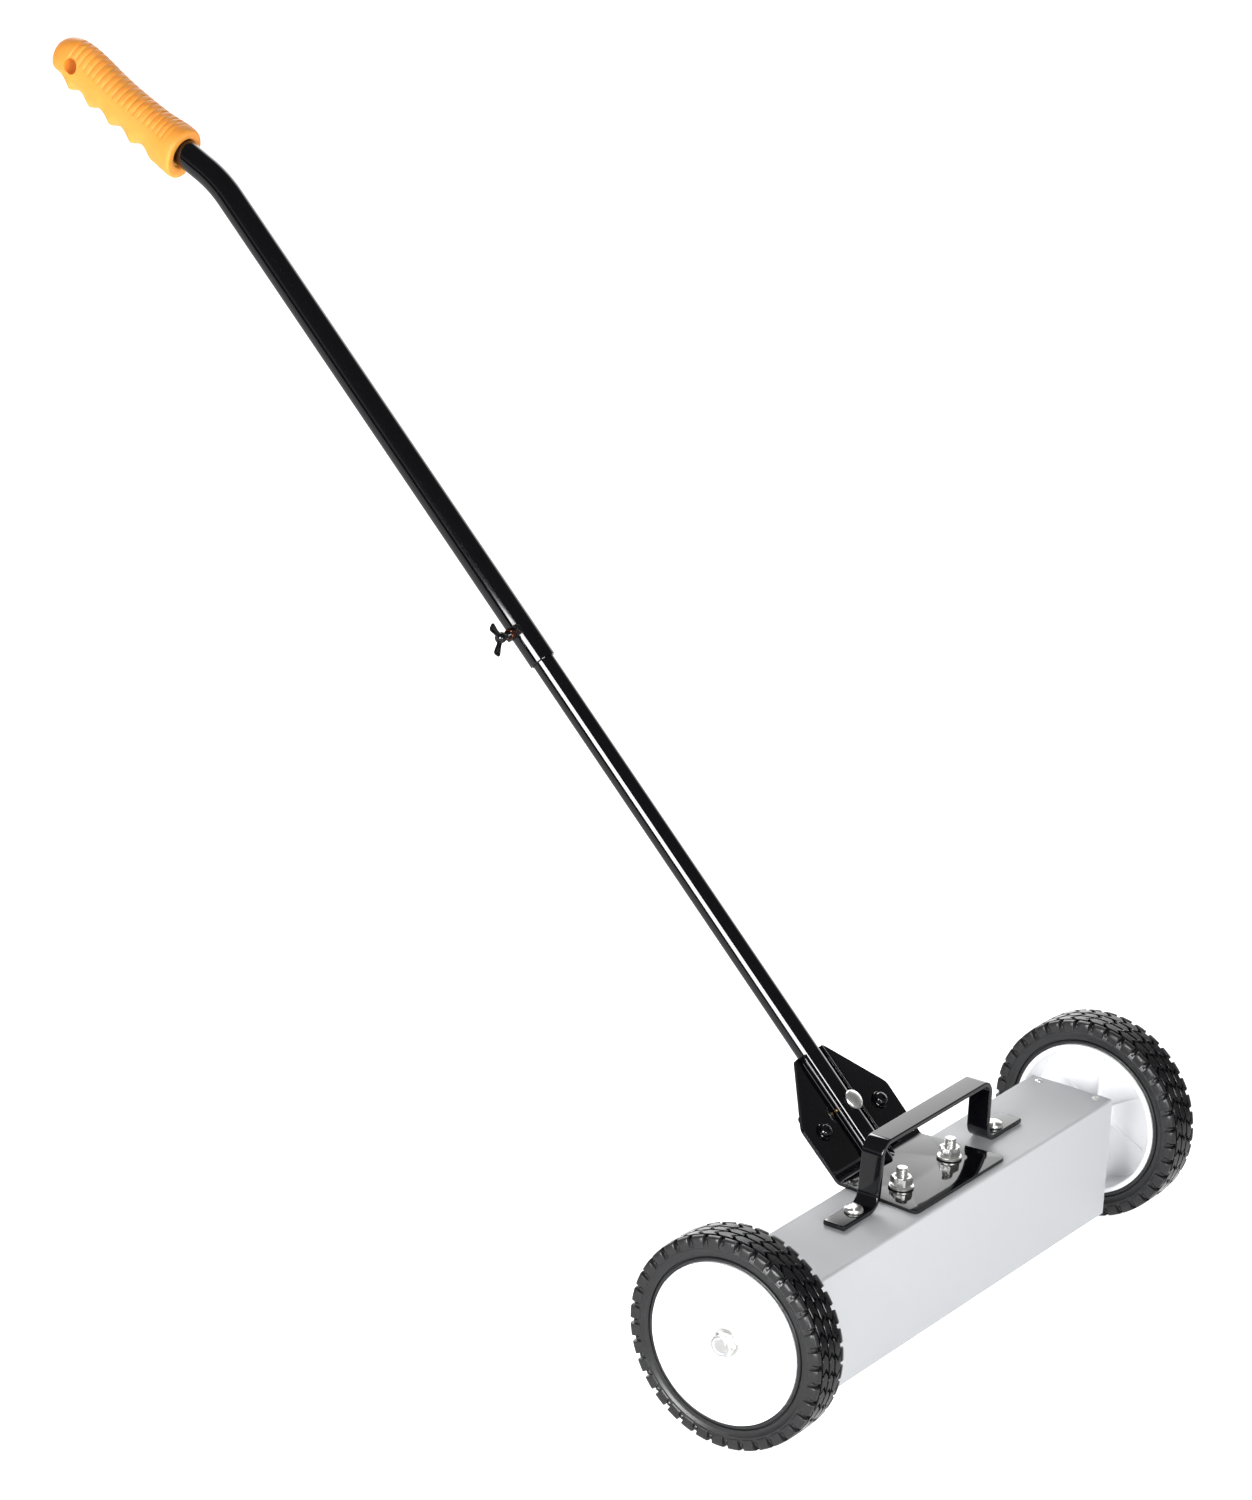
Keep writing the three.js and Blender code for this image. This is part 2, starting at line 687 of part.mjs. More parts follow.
// A point on the tube's axis, a distance past the end of its bend, in the handle's frame.
function afterBend(distance) {
  const y = BEND_RADIUS * (1 - Math.cos(BEND_ANGLE)) + distance * Math.sin(BEND_ANGLE);
  const z = BEND_START + BEND_RADIUS * Math.sin(BEND_ANGLE) + distance * Math.cos(BEND_ANGLE);
  return new THREE.Vector3(0, y, z);
}

function upperTube() {
  const sides = 28;
  const bendSteps = 5;
  const stations = [[0, UPPER_TUBE_START, 0]];
  for (let i = 0; i <= bendSteps; i += 1) {
    const angle = (BEND_ANGLE * i) / bendSteps;
    stations.push([
      BEND_RADIUS * (1 - Math.cos(angle)),
      BEND_START + BEND_RADIUS * Math.sin(angle),
      angle,
    ]);
  }
  const end = afterBend(GRIP_FROM_BEND + GRIP_BORE_DEPTH - 4);
  stations.push([end.y, end.z, BEND_ANGLE]);
  const tube = loftRing(stations, UPPER_TUBE_RADIUS, UPPER_TUBE_RADIUS - TUBE_WALL, sides);
  return cut(tube, rod(X, 3 + GAP, -20, 0, [0, 0, WING_SCREW_AT], 16));
}

// A pipe through stations of [y, z, lean], open at both ends and closed between its two skins.
function loftRing(stations, outer, inner, sides) {
  const positions = [];
  const indices = [];
  const skins = [outer, inner];
  for (const radius of skins) {
    for (const [y, z, lean] of stations) {
      for (let k = 0; k < sides; k += 1) {
        const angle = (2 * Math.PI * k) / sides;
        const across = radius * Math.sin(angle);
        positions.push(
          radius * Math.cos(angle),
          y + across * Math.cos(lean),
          z - across * Math.sin(lean),
        );
      }
    }
  }
  const at = (skin, station, k) => (skin * stations.length + station) * sides + (k % sides);
  const quad = (a, b, c, d) => indices.push(a, b, c, a, c, d);
  for (let k = 0; k < sides; k += 1) {
    for (let s = 0; s < stations.length - 1; s += 1) {
      quad(at(0, s, k), at(0, s, k + 1), at(0, s + 1, k + 1), at(0, s + 1, k));
      quad(at(1, s, k + 1), at(1, s, k), at(1, s + 1, k), at(1, s + 1, k + 1));
    }
    const last = stations.length - 1;
    quad(at(1, 0, k), at(1, 0, k + 1), at(0, 0, k + 1), at(0, 0, k));
    quad(at(0, last, k), at(0, last, k + 1), at(1, last, k + 1), at(1, last, k));
  }
  return new THREE.BufferGeometry()
    .setAttribute("position", new THREE.Float32BufferAttribute(positions, 3))
    .setIndex(indices);
}

// How far the grip's skin stands from its axis at a distance t from the mouth: above, below and at
// the sides. The top swells near the end, the under side has a scallop for each finger.
function gripSection(t) {
  const swell = (centre, spread) => Math.exp(-(((t - centre) / spread) ** 2));
  const round = Math.max(0, (t - 135) / (GRIP_LENGTH - 134));
  const nose = (1 - round ** 2.5) ** 0.4;
  const lip = Math.max(0, 1 - t / 4);
  const mouth = 1 - 0.08 * (1 - Math.sqrt(1 - lip ** 2));
  const top = 18.6 + 2.6 * swell(12, 20) + 5.4 * swell(127, 30);
  const scallop = t > 23 && t < 153 ? 5.2 * Math.abs(Math.sin((Math.PI * (t - 49)) / 26)) ** 1.3 : 0;
  const under = 25 - 0.024 * Math.max(0, t - 49) - scallop;
  const width = 17.6 + 3.6 * swell(4, 20) - 2.4 * THREE.MathUtils.smoothstep(t, 95, 140);
  return { top: top * nose * mouth, under: under * nose * mouth, width: width * nose * mouth };
}

// The mouth is cut a little obliquely: its upper lip lies further back than its lower one.
const mouthLean = (t, y) => (2.8 - 0.15 * y) * Math.max(0, 1 - t / 45) ** 2;

function grip() {
  const sides = 20;
  const steps = 26;
  const positions = [];
  const indices = [];
  for (let s = 0; s <= steps; s += 1) {
    const t = (GRIP_LENGTH * s) / steps;
    const { top, under, width } = gripSection(t);
    for (let k = 0; k < sides; k += 1) {
      const angle = (2 * Math.PI * k) / sides;
      const lift = Math.sin(angle);
      const y = lift * (lift > 0 ? under : top);
      positions.push(width * Math.cos(angle), y, t + mouthLean(t, y));
    }
  }
  const first = positions.length / 3;
  positions.push(0, 0, mouthLean(0, 0), 0, 0, GRIP_LENGTH);
  for (let k = 0; k < sides; k += 1) {
    const next = (k + 1) % sides;
    for (let s = 0; s < steps; s += 1) {
      const low = s * sides;
      const high = low + sides;
      indices.push(low + k, low + next, high + next, low + k, high + next, high + k);
    }
    indices.push(first, next, k, first + 1, steps * sides + k, steps * sides + next);
  }
  const skin = new THREE.BufferGeometry()
    .setAttribute("position", new THREE.Float32BufferAttribute(positions, 3))
    .setIndex(indices);
  const bore = rod(Z, UPPER_TUBE_RADIUS + GAP, -5, GRIP_BORE_DEPTH, [0, 0, 0], 32);
  const mouth = rod(Z, GRIP_MOUTH_RADIUS, -5, GRIP_MOUTH_DEPTH, [0, 0, 0], 32);
  const [holeY, holeZ, holeRadius] = HANGING_HOLE;
  const hangingHole = rod(X, holeRadius, -40, 40, [0, holeY, holeZ], 20);
  return cut(skin, bore, mouth, hangingHole);
}

function wingScrew() {
  const hub = revolve(
    [
      [0, -34.5],
      [3.4, -34.2],
      [4.6, -32.5],
      [4.8, -27],
      [4.4, -24.5],
      [2.8, -24],
      [2.8, -22.5],
      [3, -22.5],
      [3, -LOWER_TUBE_RADIUS - GAP],
      [0, -LOWER_TUBE_RADIUS - GAP],
    ],
    16,
  );
  const wing = extrude(
    [
      [3, -3.6],
      [8, -2.4],
      [13, -4],
      [16, -2.2],
      [16.2, 0.6],
      [14.6, 3.4],
      [8, 2.2],
      [3, 3.6],
    ],
    3,
  )
    .translate(0, 0, -1.5)
    .applyMatrix4(new THREE.Matrix4().makeBasis(Z, X, Y));
  const flare = THREE.MathUtils.degToRad(38);
  const lean = THREE.MathUtils.degToRad(30);
  const wings = [0, Math.PI].map((turn) =>
    wing
      .clone()
      .rotateY(-flare)
      .rotateX(turn + lean)
      .translate(-30, 0, 0),
  );
  return join(hub, ...wings);
}

function addHandle(parent) {
  addMesh(parent, "lower_tube", lowerTube(), blackGloss());
  const frame = handleFrame();
  parent.add(frame);
  addMesh(frame, "upper_tube", upperTube(), blackGloss());

  const mouth = afterBend(GRIP_FROM_BEND);
  const gripMesh = addMesh(frame, "grip", grip(), gripPlastic(), mouth.toArray());
  gripMesh.rotation.x = -BEND_ANGLE;

  const screwPlace = [0, 0, WING_SCREW_AT];
  const pad = box([-14.5, -4.5, -8.5], [-8, 4.5, 8.5]);
  const tubeClearance = rod(Z, UPPER_TUBE_RADIUS + GAP, -20, 20, [0, 0, 0], 32);
  const boss = cut(pad, tubeClearance, rod(X, 3 + GAP, -20, 0, [0, 0, 0], 16));
  addMesh(frame, "clamp_boss", boss, blackGloss(), screwPlace);
  const jamNut = alongX(nut(9, 3 + GAP, 4.5)).translate(-14.5 - GAP - 4.5, 0, 0);
  addMesh(frame, "jam_nut", jamNut, copper(), screwPlace);
  addMesh(frame, "wing_screw", wingScrew(), blackGloss(), screwPlace);
}

// ---------- the whole object ----------
const sweeper = new THREE.Group();
addHousing(sweeper);
addAxle(sweeper);
addWheels(sweeper);
addBracket(sweeper);
addPlateBolts(sweeper);
addCarryHandle(sweeper);
addHandle(sweeper);

// Moves the axle's frame so that the origin is under the middle of the whole object's box.
const bounds = new THREE.Box3().setFromObject(sweeper, true);
sweeper.position.set(0, -(bounds.min.y + bounds.max.y) / 2, WHEEL_RADIUS);

export default sweeper;
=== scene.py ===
"""Looks of the magnetic nail sweeper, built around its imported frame. Metres, in the frame's own axes.

Shapes are written in millimetres from the middle of the axle, or in the handle's own frame, and are
moved into the row frame by one matrix each.
"""
import math

import bmesh
import bpy
from mathutils import Matrix, Vector


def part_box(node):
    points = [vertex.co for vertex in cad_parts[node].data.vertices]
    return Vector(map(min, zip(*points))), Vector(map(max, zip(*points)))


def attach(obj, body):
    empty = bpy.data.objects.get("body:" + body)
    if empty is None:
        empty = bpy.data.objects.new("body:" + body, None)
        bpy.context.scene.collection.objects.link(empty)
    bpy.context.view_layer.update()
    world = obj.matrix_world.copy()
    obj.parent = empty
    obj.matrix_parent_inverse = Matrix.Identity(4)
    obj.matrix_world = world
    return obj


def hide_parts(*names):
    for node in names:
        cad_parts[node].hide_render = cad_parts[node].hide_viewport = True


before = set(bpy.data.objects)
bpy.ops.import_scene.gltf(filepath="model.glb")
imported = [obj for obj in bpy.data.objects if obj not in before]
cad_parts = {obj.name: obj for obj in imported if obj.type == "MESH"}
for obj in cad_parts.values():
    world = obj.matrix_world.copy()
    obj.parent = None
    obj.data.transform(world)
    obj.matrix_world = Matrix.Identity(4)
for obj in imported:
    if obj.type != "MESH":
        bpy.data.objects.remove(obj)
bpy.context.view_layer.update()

# ---------- frames ----------
axle_low, axle_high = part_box("axle_rod")
AXLE = (axle_low + axle_high) / 2
FROM_AXLE = Matrix.Translation(AXLE) @ Matrix.Diagonal((0.001, 0.001, 0.001, 1))
HANDLE_LEAN = math.radians(44.1)
HANDLE_FOOT = (0, 45, 38.15)
HANDLE = FROM_AXLE @ Matrix.Translation(HANDLE_FOOT) @ Matrix.Rotation(HANDLE_LEAN - math.pi / 2, 4, "X")
SIDES = (("left", -1), ("right", 1))

# ---------- dimensions, in millimetres ----------
GAP = 0.3
HOUSING_TOP = 38
HOUSING_FRONT = -39
HOUSING_BACK = 41
HOUSING_BOTTOM = -68.5
HOUSING_HALF = 236
SHELL_SHEET = 1.5
PLATE_SHEET = 3
PLATE_TOP = HOUSING_TOP + GAP + PLATE_SHEET
WHEEL_X = 277.5
WHEEL_RADIUS = 89
LUGS = 36
AXLE_HALF = 299.5
HUB_FACE = 12.7
STUD_AT = (37.4, 2.4)
FLANGE_SCREW_AT = (42, 44)
STRAP_SHEET = 4.5
STRAP_WIDTH = 20
STRAP_TOP = 97
STRAP_SCREW_AT = 108.5
CHANNEL_INNER = 12
CHANNEL_OUTER = 14.5
FOOT_CUT = 42.4
BOLT_AT = 54
LOWER_TUBE_RADIUS = 10
LOWER_TUBE_TOP = 596
UPPER_TUBE_RADIUS = 12
UPPER_TUBE_START = 503
TUBE_WALL = 1.5
WING_SCREW_AT = 535.5
BEND_START = 985
BEND_RADIUS = 105
BEND_ANGLE = math.radians(18.9)
GRIP_START = 21.7
GRIP_LENGTH = 161
BORE_DEPTH = 118
HANGING_HOLE_AT = 133.5

# ---------- other constants ----------
SHARP_ANGLE = 38
BEVEL_ANGLE = 35
MERGE_DISTANCE = 1e-5
BUMP_HEIGHT = 0.0004
FLOOR_REACH = 30
BACKDROP_RADIUS = 29
CAMERA_FROM_AXLE = (-3.2110, -1.8573, 1.7509)
CAMERA_SIDE = math.radians(-55.88)
CAMERA_HEIGHT = math.radians(20.11)
CAMERA_ROLL = math.radians(2.82)
CAMERA_LENS = 119.21
CAMERA_SENSOR = 36


# ---------- materials ----------
def surface(name, color, metallic=0.0, rough=(0.3, 0.4), mottle=0.04, grain=300.0, bump=0.05,
            stretch=(1, 1, 1), **sockets):
    """A shader whose colour, roughness and height vary with noise on the object's own coordinates."""
    broad_grain = grain / 18
    tint_span = (0.32, 0.68)
    rough_span = (0.3, 0.7)
    material = bpy.data.materials.new(name)
    material.use_nodes = True
    nodes = material.node_tree.nodes
    links = material.node_tree.links
    shader = nodes["Principled BSDF"]
    shader.inputs["Metallic"].default_value = metallic
    for socket, value in sockets.items():
        shader.inputs[socket.replace("_", " ")].default_value = value
    place = nodes.new("ShaderNodeTexCoord")
    scale = nodes.new("ShaderNodeMapping")
    scale.inputs["Scale"].default_value = stretch
    links.new(place.outputs["Object"], scale.inputs["Vector"])
    fine = nodes.new("ShaderNodeTexNoise")
    fine.inputs["Scale"].default_value = grain
    fine.inputs["Detail"].default_value = 4
    links.new(scale.outputs["Vector"], fine.inputs["Vector"])
    broad = nodes.new("ShaderNodeTexNoise")
    broad.inputs["Scale"].default_value = broad_grain
    broad.inputs["Detail"].default_value = 3
    links.new(scale.outputs["Vector"], broad.inputs["Vector"])
    blend = nodes.new("ShaderNodeMath")
    blend.operation = "MULTIPLY_ADD"
    blend.inputs[1].default_value = 0.5
    links.new(fine.outputs["Fac"], blend.inputs[0])
    half = nodes.new("ShaderNodeMath")
    half.operation = "MULTIPLY"
    half.inputs[1].default_value = 0.5
    links.new(broad.outputs["Fac"], half.inputs[0])
    links.new(half.outputs[0], blend.inputs[2])
    tint = nodes.new("ShaderNodeValToRGB")
    for stop, at, factor in zip(tint.color_ramp.elements, tint_span, (1 - mottle, 1 + mottle)):
        stop.position = at
        stop.color = (*[min(1, c * factor) for c in color], 1)
    links.new(blend.outputs[0], tint.inputs["Fac"])
    links.new(tint.outputs["Color"], shader.inputs["Base Color"])
    spread = nodes.new("ShaderNodeMapRange")
    for socket, value in zip(("From Min", "From Max", "To Min", "To Max"), rough_span + rough):
        spread.inputs[socket].default_value = value
    links.new(blend.outputs[0], spread.inputs["Value"])
    links.new(spread.outputs["Result"], shader.inputs["Roughness"])
    height = nodes.new("ShaderNodeBump")
    height.inputs["Strength"].default_value = bump
    height.inputs["Distance"].default_value = BUMP_HEIGHT
    links.new(fine.outputs["Fac"], height.inputs["Height"])
    links.new(height.outputs["Normal"], shader.inputs["Normal"])
    return material


SILVER = surface("silver_paint", (0.57, 0.583, 0.602), 0.15, (0.5, 0.58), 0.012, 900, 0.03)
BLACK = surface("black_gloss", (0.0022, 0.0022, 0.0034), 0.0, (0.05, 0.08), 0.25, 160, 0.006, IOR=1.65)
TUBE = surface("black_gloss_tube", (0.0012, 0.0012, 0.002), 0.0, (0.05, 0.07), 0.25, 120, 0.004,
               IOR=1.65)
ZINC = surface("zinc_plate", (0.86, 0.86, 0.84), 0.9, (0.27, 0.35), 0.03, 500, 0.01)
BRASS = surface("brass", (0.26, 0.18, 0.08), 1.0, (0.3, 0.4), 0.1, 500, 0.05)
COPPER = surface("copper_plate", (0.20, 0.085, 0.06), 1.0, (0.25, 0.36), 0.12, 500, 0.04)
STEEL = surface("rolled_steel", (0.45, 0.46, 0.47), 1.0, (0.35, 0.5), 0.1, 90, 0.1, (1, 12, 12))
FERRITE = surface("ferrite", (0.05, 0.05, 0.055), 0.0, (0.7, 0.85), 0.2, 700, 0.3)
# Two copies of one rubber: the body's lighter base is painted light on the sidewalls, and the tread blocks'
# darker base is painted shade on the tread.
RUBBER = surface("tyre_rubber_painted_light", (0.017, 0.017, 0.018), 0.0, (0.3, 0.4), 0.16, 450, 0.05, IOR=1.55)
SHADED_TREAD_RUBBER = surface("tread_rubber_painted_shade", (0.006, 0.006, 0.007), 0.0, (0.22, 0.3), 0.2, 450, 0.05, IOR=1.5)
WHITE = surface("white_plastic", (0.88, 0.885, 0.90), 0.0, (0.34, 0.44), 0.012, 260, 0.03)
NYLON = surface("nylon", (0.72, 0.76, 0.80), 0.0, (0.35, 0.45), 0.03, 260, 0.03)
ORANGE = surface("grip_plastic", (0.76, 0.296, 0.039), 0.0, (0.5, 0.6), 0.035, 420, 0.04,
                 Subsurface_Weight=0.45, Subsurface_Scale=0.008, Subsurface_Radius=(1.0, 0.28, 0.05))
FLOOR = surface("floor", (0.93, 0.93, 0.93), 0.0, (0.7, 0.8), 0.004, 6, 0.0)
BACKDROP = surface("backdrop", (0.93, 0.93, 0.93), 0.0, (0.7, 0.8), 0.004, 6, 0.0)


# ---------- shapes ----------
def circle(radius, sides):
    angles = [math.tau * k / sides for k in range(sides)]
    return [(radius * math.cos(a), radius * math.sin(a)) for a in angles]


def loft(rings, closed=False, capped=True):
    """A skin through rings of points, each with the same count, or with one point for a pole."""
    shape = bmesh.new()
    made = [[shape.verts.new(point) for point in ring] for ring in rings]
    spans = list(zip(made, made[1:]))
    if closed:
        spans.append((made[-1], made[0]))
    for low, high in spans:
        count = max(len(low), len(high))
        for k in range(count):
            n = k + 1
            corners = [low[k % len(low)], low[n % len(low)], high[n % len(high)], high[k % len(high)]]
            corners = list(dict.fromkeys(corners))
            if len(corners) > 2:
                shape.faces.new(corners)
    if capped and not closed:
        for ring in (made[0], made[-1]):
            if len(ring) > 2:
                shape.faces.new(ring)
    return shape


def lathe(profile, sides, closed=False, limit=None):
    """A solid of revolution about Z from points of (radius, height); limit(angle) trims its radius."""
    rings = []
    for radius, height in profile:
        if radius < 1e-6:
            rings.append([(0, 0, height)])
            continue
        ring = []
        for k in range(sides):
            angle = math.tau * k / sides
            reach = min(radius, limit(angle)) if limit else radius
            ring.append((reach * math.cos(angle), reach * math.sin(angle), height))
        rings.append(ring)
    return loft(rings, closed)


def rounded(points, radius, steps=4, closed=True):
    """A polyline with each corner turned into an arc that starts a radius away from it."""
    result = []
    count = len(points)
    for i, point in enumerate(points):
        here = Vector(point[:2])
        size = point[2] if len(point) > 2 else radius
        if size <= 0 or (not closed and i in (0, count - 1)):
            result.append(tuple(here))
            continue
        before = Vector(points[i - 1][:2]) - here
        after = Vector(points[(i + 1) % count][:2]) - here
        reach = min(size, before.length * 0.49, after.length * 0.49)
        start = here + before.normalized() * reach
        end = here + after.normalized() * reach
        for k in range(steps + 1):
            t = k / steps
            result.append(tuple(start * (1 - t) ** 2 + here * 2 * t * (1 - t) + end * t ** 2))
    return result


def plate(outline, depth, holes=()):
    """A flat outline with holes, from height 0 to depth."""
    shape = bmesh.new()
    edges = []
    for points in (outline, *holes):
        loop = [shape.verts.new((x, y, 0)) for x, y in points]
        edges += [shape.edges.new(pair) for pair in zip(loop, loop[1:] + loop[:1])]
    bmesh.ops.triangle_fill(shape, edges=edges, use_beauty=True)
    made = bmesh.ops.extrude_face_region(shape, geom=shape.faces[:])
    raised = [v for v in made["geom"] if isinstance(v, bmesh.types.BMVert)]
    bmesh.ops.translate(shape, verts=raised, vec=(0, 0, depth))
    return shape


def soften(shape, width, segments):
    """Rounds the edges where faces meet at more than BEVEL_ANGLE."""
    bmesh.ops.recalc_face_normals(shape, faces=shape.faces)
    limit = math.radians(BEVEL_ANGLE)
    edges = [e for e in shape.edges if e.is_manifold and e.calc_face_angle(0) > limit]
    bmesh.ops.bevel(shape, geom=edges, offset=width, segments=segments, profile=0.5,
                    affect="EDGES", clamp_overlap=True)
    return shape


def moved(shape, *matrices):
    for matrix in matrices:
        bmesh.ops.transform(shape, matrix=matrix, verts=shape.verts)
        if matrix.determinant() < 0:
            bmesh.ops.reverse_faces(shape, faces=shape.faces)
    return shape


def shift(x=0, y=0, z=0):
    return Matrix.Translation((x, y, z))


def turn(angle, axis):
    return Matrix.Rotation(math.radians(angle), 4, axis)


def hex_limit(across):
    """The distance from the middle of a hexagon to its side, by angle."""
    def limit(angle):
        return across / 2 / math.cos((angle + math.pi / 6) % (math.pi / 3) - math.pi / 6)
    return limit


def hex_body(across, depth, hole):
    """A hexagon from height 0 to depth with both ends chamfered round its corners and its hole."""
    corner = across / math.sqrt(3)
    face = across / 2 * 0.97
    drop = (corner - face) * 0.55
    sink = 0.6
    outside = [(face, 0), (corner, drop), (corner, depth - drop), (face, depth)]
    inside = [(hole + sink, depth), (hole, depth - sink), (hole, sink), (hole + sink, 0)]
    return lathe(outside + inside, 72, True, hex_limit(across))


def washer(outer, hole, depth):
    edge = min(0.45, depth / 3)
    rim = [(outer - edge, 0), (outer, edge), (outer, depth - edge), (outer - edge, depth)]
    return lathe([(hole, 0), *rim, (hole, depth)], 56, True)


def sleeve(hole, outer, low, high, edge):
    """A plain sleeve from height low to high, chamfered outside."""
    rim = [(outer - edge, low), (outer, low + edge), (outer, high - edge), (outer - edge, high)]
    return lathe([(hole, low), *rim, (hole, high)], 48, True)


def thread(radius, low, high, pitch, sides=32, steps=6):
    """A threaded shank with chamfered ends, from steps rings to each turn of the thread."""
    depth = pitch * 0.5
    rings = [[(0, 0, low)]]
    count = round((high - low) / pitch * steps)
    for i in range(count + 1):
        height = low + (high - low) * i / count
        end = min(height - low, high - height)
        ring = []
        for k in range(sides):
            angle = math.tau * k / sides
            phase = (height / pitch - k / sides) % 1
            reach = radius - depth * abs(2 * phase - 1)
            reach = min(reach, radius - depth * 1.1 + end)
            ring.append((reach * math.cos(angle), reach * math.sin(angle), height))
        rings.append(ring)
    rings.append([(0, 0, high)])
    return loft(rings)


def finish_mesh(shapes, place, name, sharp):
    whole = bmesh.new()
    for shape in shapes:
        bmesh.ops.remove_doubles(shape, verts=shape.verts, dist=MERGE_DISTANCE)
        bmesh.ops.recalc_face_normals(shape, faces=shape.faces)
        part = bpy.data.meshes.new("part")
        shape.to_mesh(part)
        shape.free()
        whole.from_mesh(part)
        bpy.data.meshes.remove(part)
    moved(whole, place)
    for face in whole.faces:
        face.smooth = True
    mesh = bpy.data.meshes.new(name)
    whole.to_mesh(mesh)
    whole.free()
    mesh.set_sharp_from_angle(angle=math.radians(sharp))
    return mesh


def piece(name, shapes, place, body, material, nodes=(), sharp=SHARP_ANGLE, cutters=()):
    """One visible mesh: shapes in millimetres, moved by place, riding on a body for its CAD nodes."""
    made = bpy.data.objects.new(name, finish_mesh(shapes, place, name, sharp))
    bpy.context.scene.collection.objects.link(made)
    made.data.materials.append(material)
    for cutter in cutters:
        carve(made, finish_mesh([cutter], place, "cutter", sharp))
    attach(made, body)
    if nodes:
        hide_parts(*nodes)
    return made


def carve(target, mesh):
    """Takes a mesh away from an object and keeps the result as its mesh."""
    tool = bpy.data.objects.new("cutter", mesh)
    bpy.context.scene.collection.objects.link(tool)
    step = target.modifiers.new("cut", "BOOLEAN")
    step.object = tool
    step.operation = "DIFFERENCE"
    step.solver = "EXACT"
    graph = bpy.context.evaluated_depsgraph_get()
    result = bpy.data.meshes.new_from_object(target.evaluated_get(graph))
    target.modifiers.clear()
    old = target.data
    target.data = result
    bpy.data.objects.remove(tool)
    bpy.data.meshes.remove(old)
    result.name = target.name
    for polygon in result.polygons:
        polygon.use_smooth = True
    result.set_sharp_from_angle(angle=math.radians(SHARP_ANGLE))


# ---------- wheels ----------
def wheel_place(sign):
    return FROM_AXLE @ shift(sign * WHEEL_X) @ Matrix.Rotation(sign * math.pi / 2, 4, "Y")


# Across the tread from its crown: the distance, the rubber between the blocks and the blocks' tops,
# the last two as (x, radius). The sidewall goes on from there to the bead, past one groove.
TREAD = [
    (0, (0, 85.0), (0, 89.0)), (8, (8, 85.0), (8, 88.95)),
    (13, (13, 84.8), (14, 88.8)), (15.6, (15.2, 84.2), (17.4, 88.2)),
    (16.8, (16, 83.4), (18.5, 87.2)), (18.6, (16.7, 82), (18.7, 84.6)),
    (21, (17.3, 80.2), (18.6, 81.2)), (23, (17.7, 78.8), (18.3, 79.2)),
]
SIDEWALL = [
    (17.9, 78), (17.8, 77.4), (17.2, 76.6), (16.6, 75.6), (16.3, 73.5), (16.3, 71.9),
    (15.9, 71.6), (14.4, 71.4), (14.4, 70.7), (16.2, 70.5), (16.8, 70.2), (17.2, 69.5),
    (17.2, 68.5), (16.7, 67.8), (14, 67.5),
]


def on_tread(across, level):
    """(axial place, radius) at a distance from the crown; level 0 is the rubber, 1 a block's top."""
    far = min(abs(across), TREAD[-1][0])
    side = math.copysign(1, across)
    for (w0, base0, top0), (w1, base1, top1) in zip(TREAD, TREAD[1:]):
        if far <= w1:
            t = (far - w0) / (w1 - w0)
            base = Vector(base0).lerp(Vector(base1), t)
            spot = base + (Vector(top0).lerp(Vector(top1), t) - base) * level
            return side * spot.x, spot.y


def on_tyre(along, across, level, lug):
    """The place in the wheel of a point on lug number lug, along the tread in millimetres."""
    x, r = on_tread(across, level)
    angle = math.tau * lug / LUGS + along / WHEEL_RADIUS
    return (r * math.cos(angle), r * math.sin(angle), x)


def tread_block(rows, height, lug, edge=0.4):
    """A block of tread from rows of (across, start, end), with drafted sides and a rounded top edge."""
    def line(across, start, end, tops):
        stops = [start - edge, start, start + edge, start + (end - start) / 3,
                 end - (end - start) / 3, end - edge, end, end + edge]
        return [on_tyre(s, across, h, lug) for s, h in zip(stops, tops)]
    sunk = -0.2
    low = height - 0.09
    corners = 8
    side = 1 if rows[-1][0] > rows[0][0] else -1
    flat = [sunk, low, height, height, height, height, low, sunk]
    shoulder = [sunk, low, low, low, low, low, low, sunk]
    (a0, s0, e0), (a1, s1, e1) = rows[0], rows[-1]
    lines = [line(a0 - side * edge, s0, e0, [sunk] * corners), line(a0, s0, e0, shoulder)]
    lines.append(line(a0 + side * edge, s0, e0, flat))
    lines += [line(a, s, e, flat) for a, s, e in rows[1:-1]]
    lines.append(line(a1 - side * edge, s1, e1, flat))
    lines += [line(a1, s1, e1, shoulder), line(a1 + side * edge, s1, e1, [sunk] * corners)]
    shape = bmesh.new()
    grid = [[shape.verts.new(point) for point in points] for points in lines]
    for low_line, high_line in zip(grid, grid[1:]):
        for k in range(corners - 1):
            shape.faces.new((low_line[k], low_line[k + 1], high_line[k + 1], high_line[k]))
    rim = grid[0] + [points[-1] for points in grid[1:-1]] + grid[-1][::-1]
    rim += [points[0] for points in grid[-2:0:-1]]
    shape.faces.new(rim)
    return shape


def zigzag_rows(start, end, length, swing, steps=4):
    """Rows of a chevron: its middle is swung to one side, its ends to the other."""
    rows = []
    for i in range(steps + 1):
        t = i / steps
        middle = swing * (1 - 2 * abs(2 * t - 1))
        rows.append((start + (end - start) * t, middle - length / 2, middle + length / 2))
    return rows


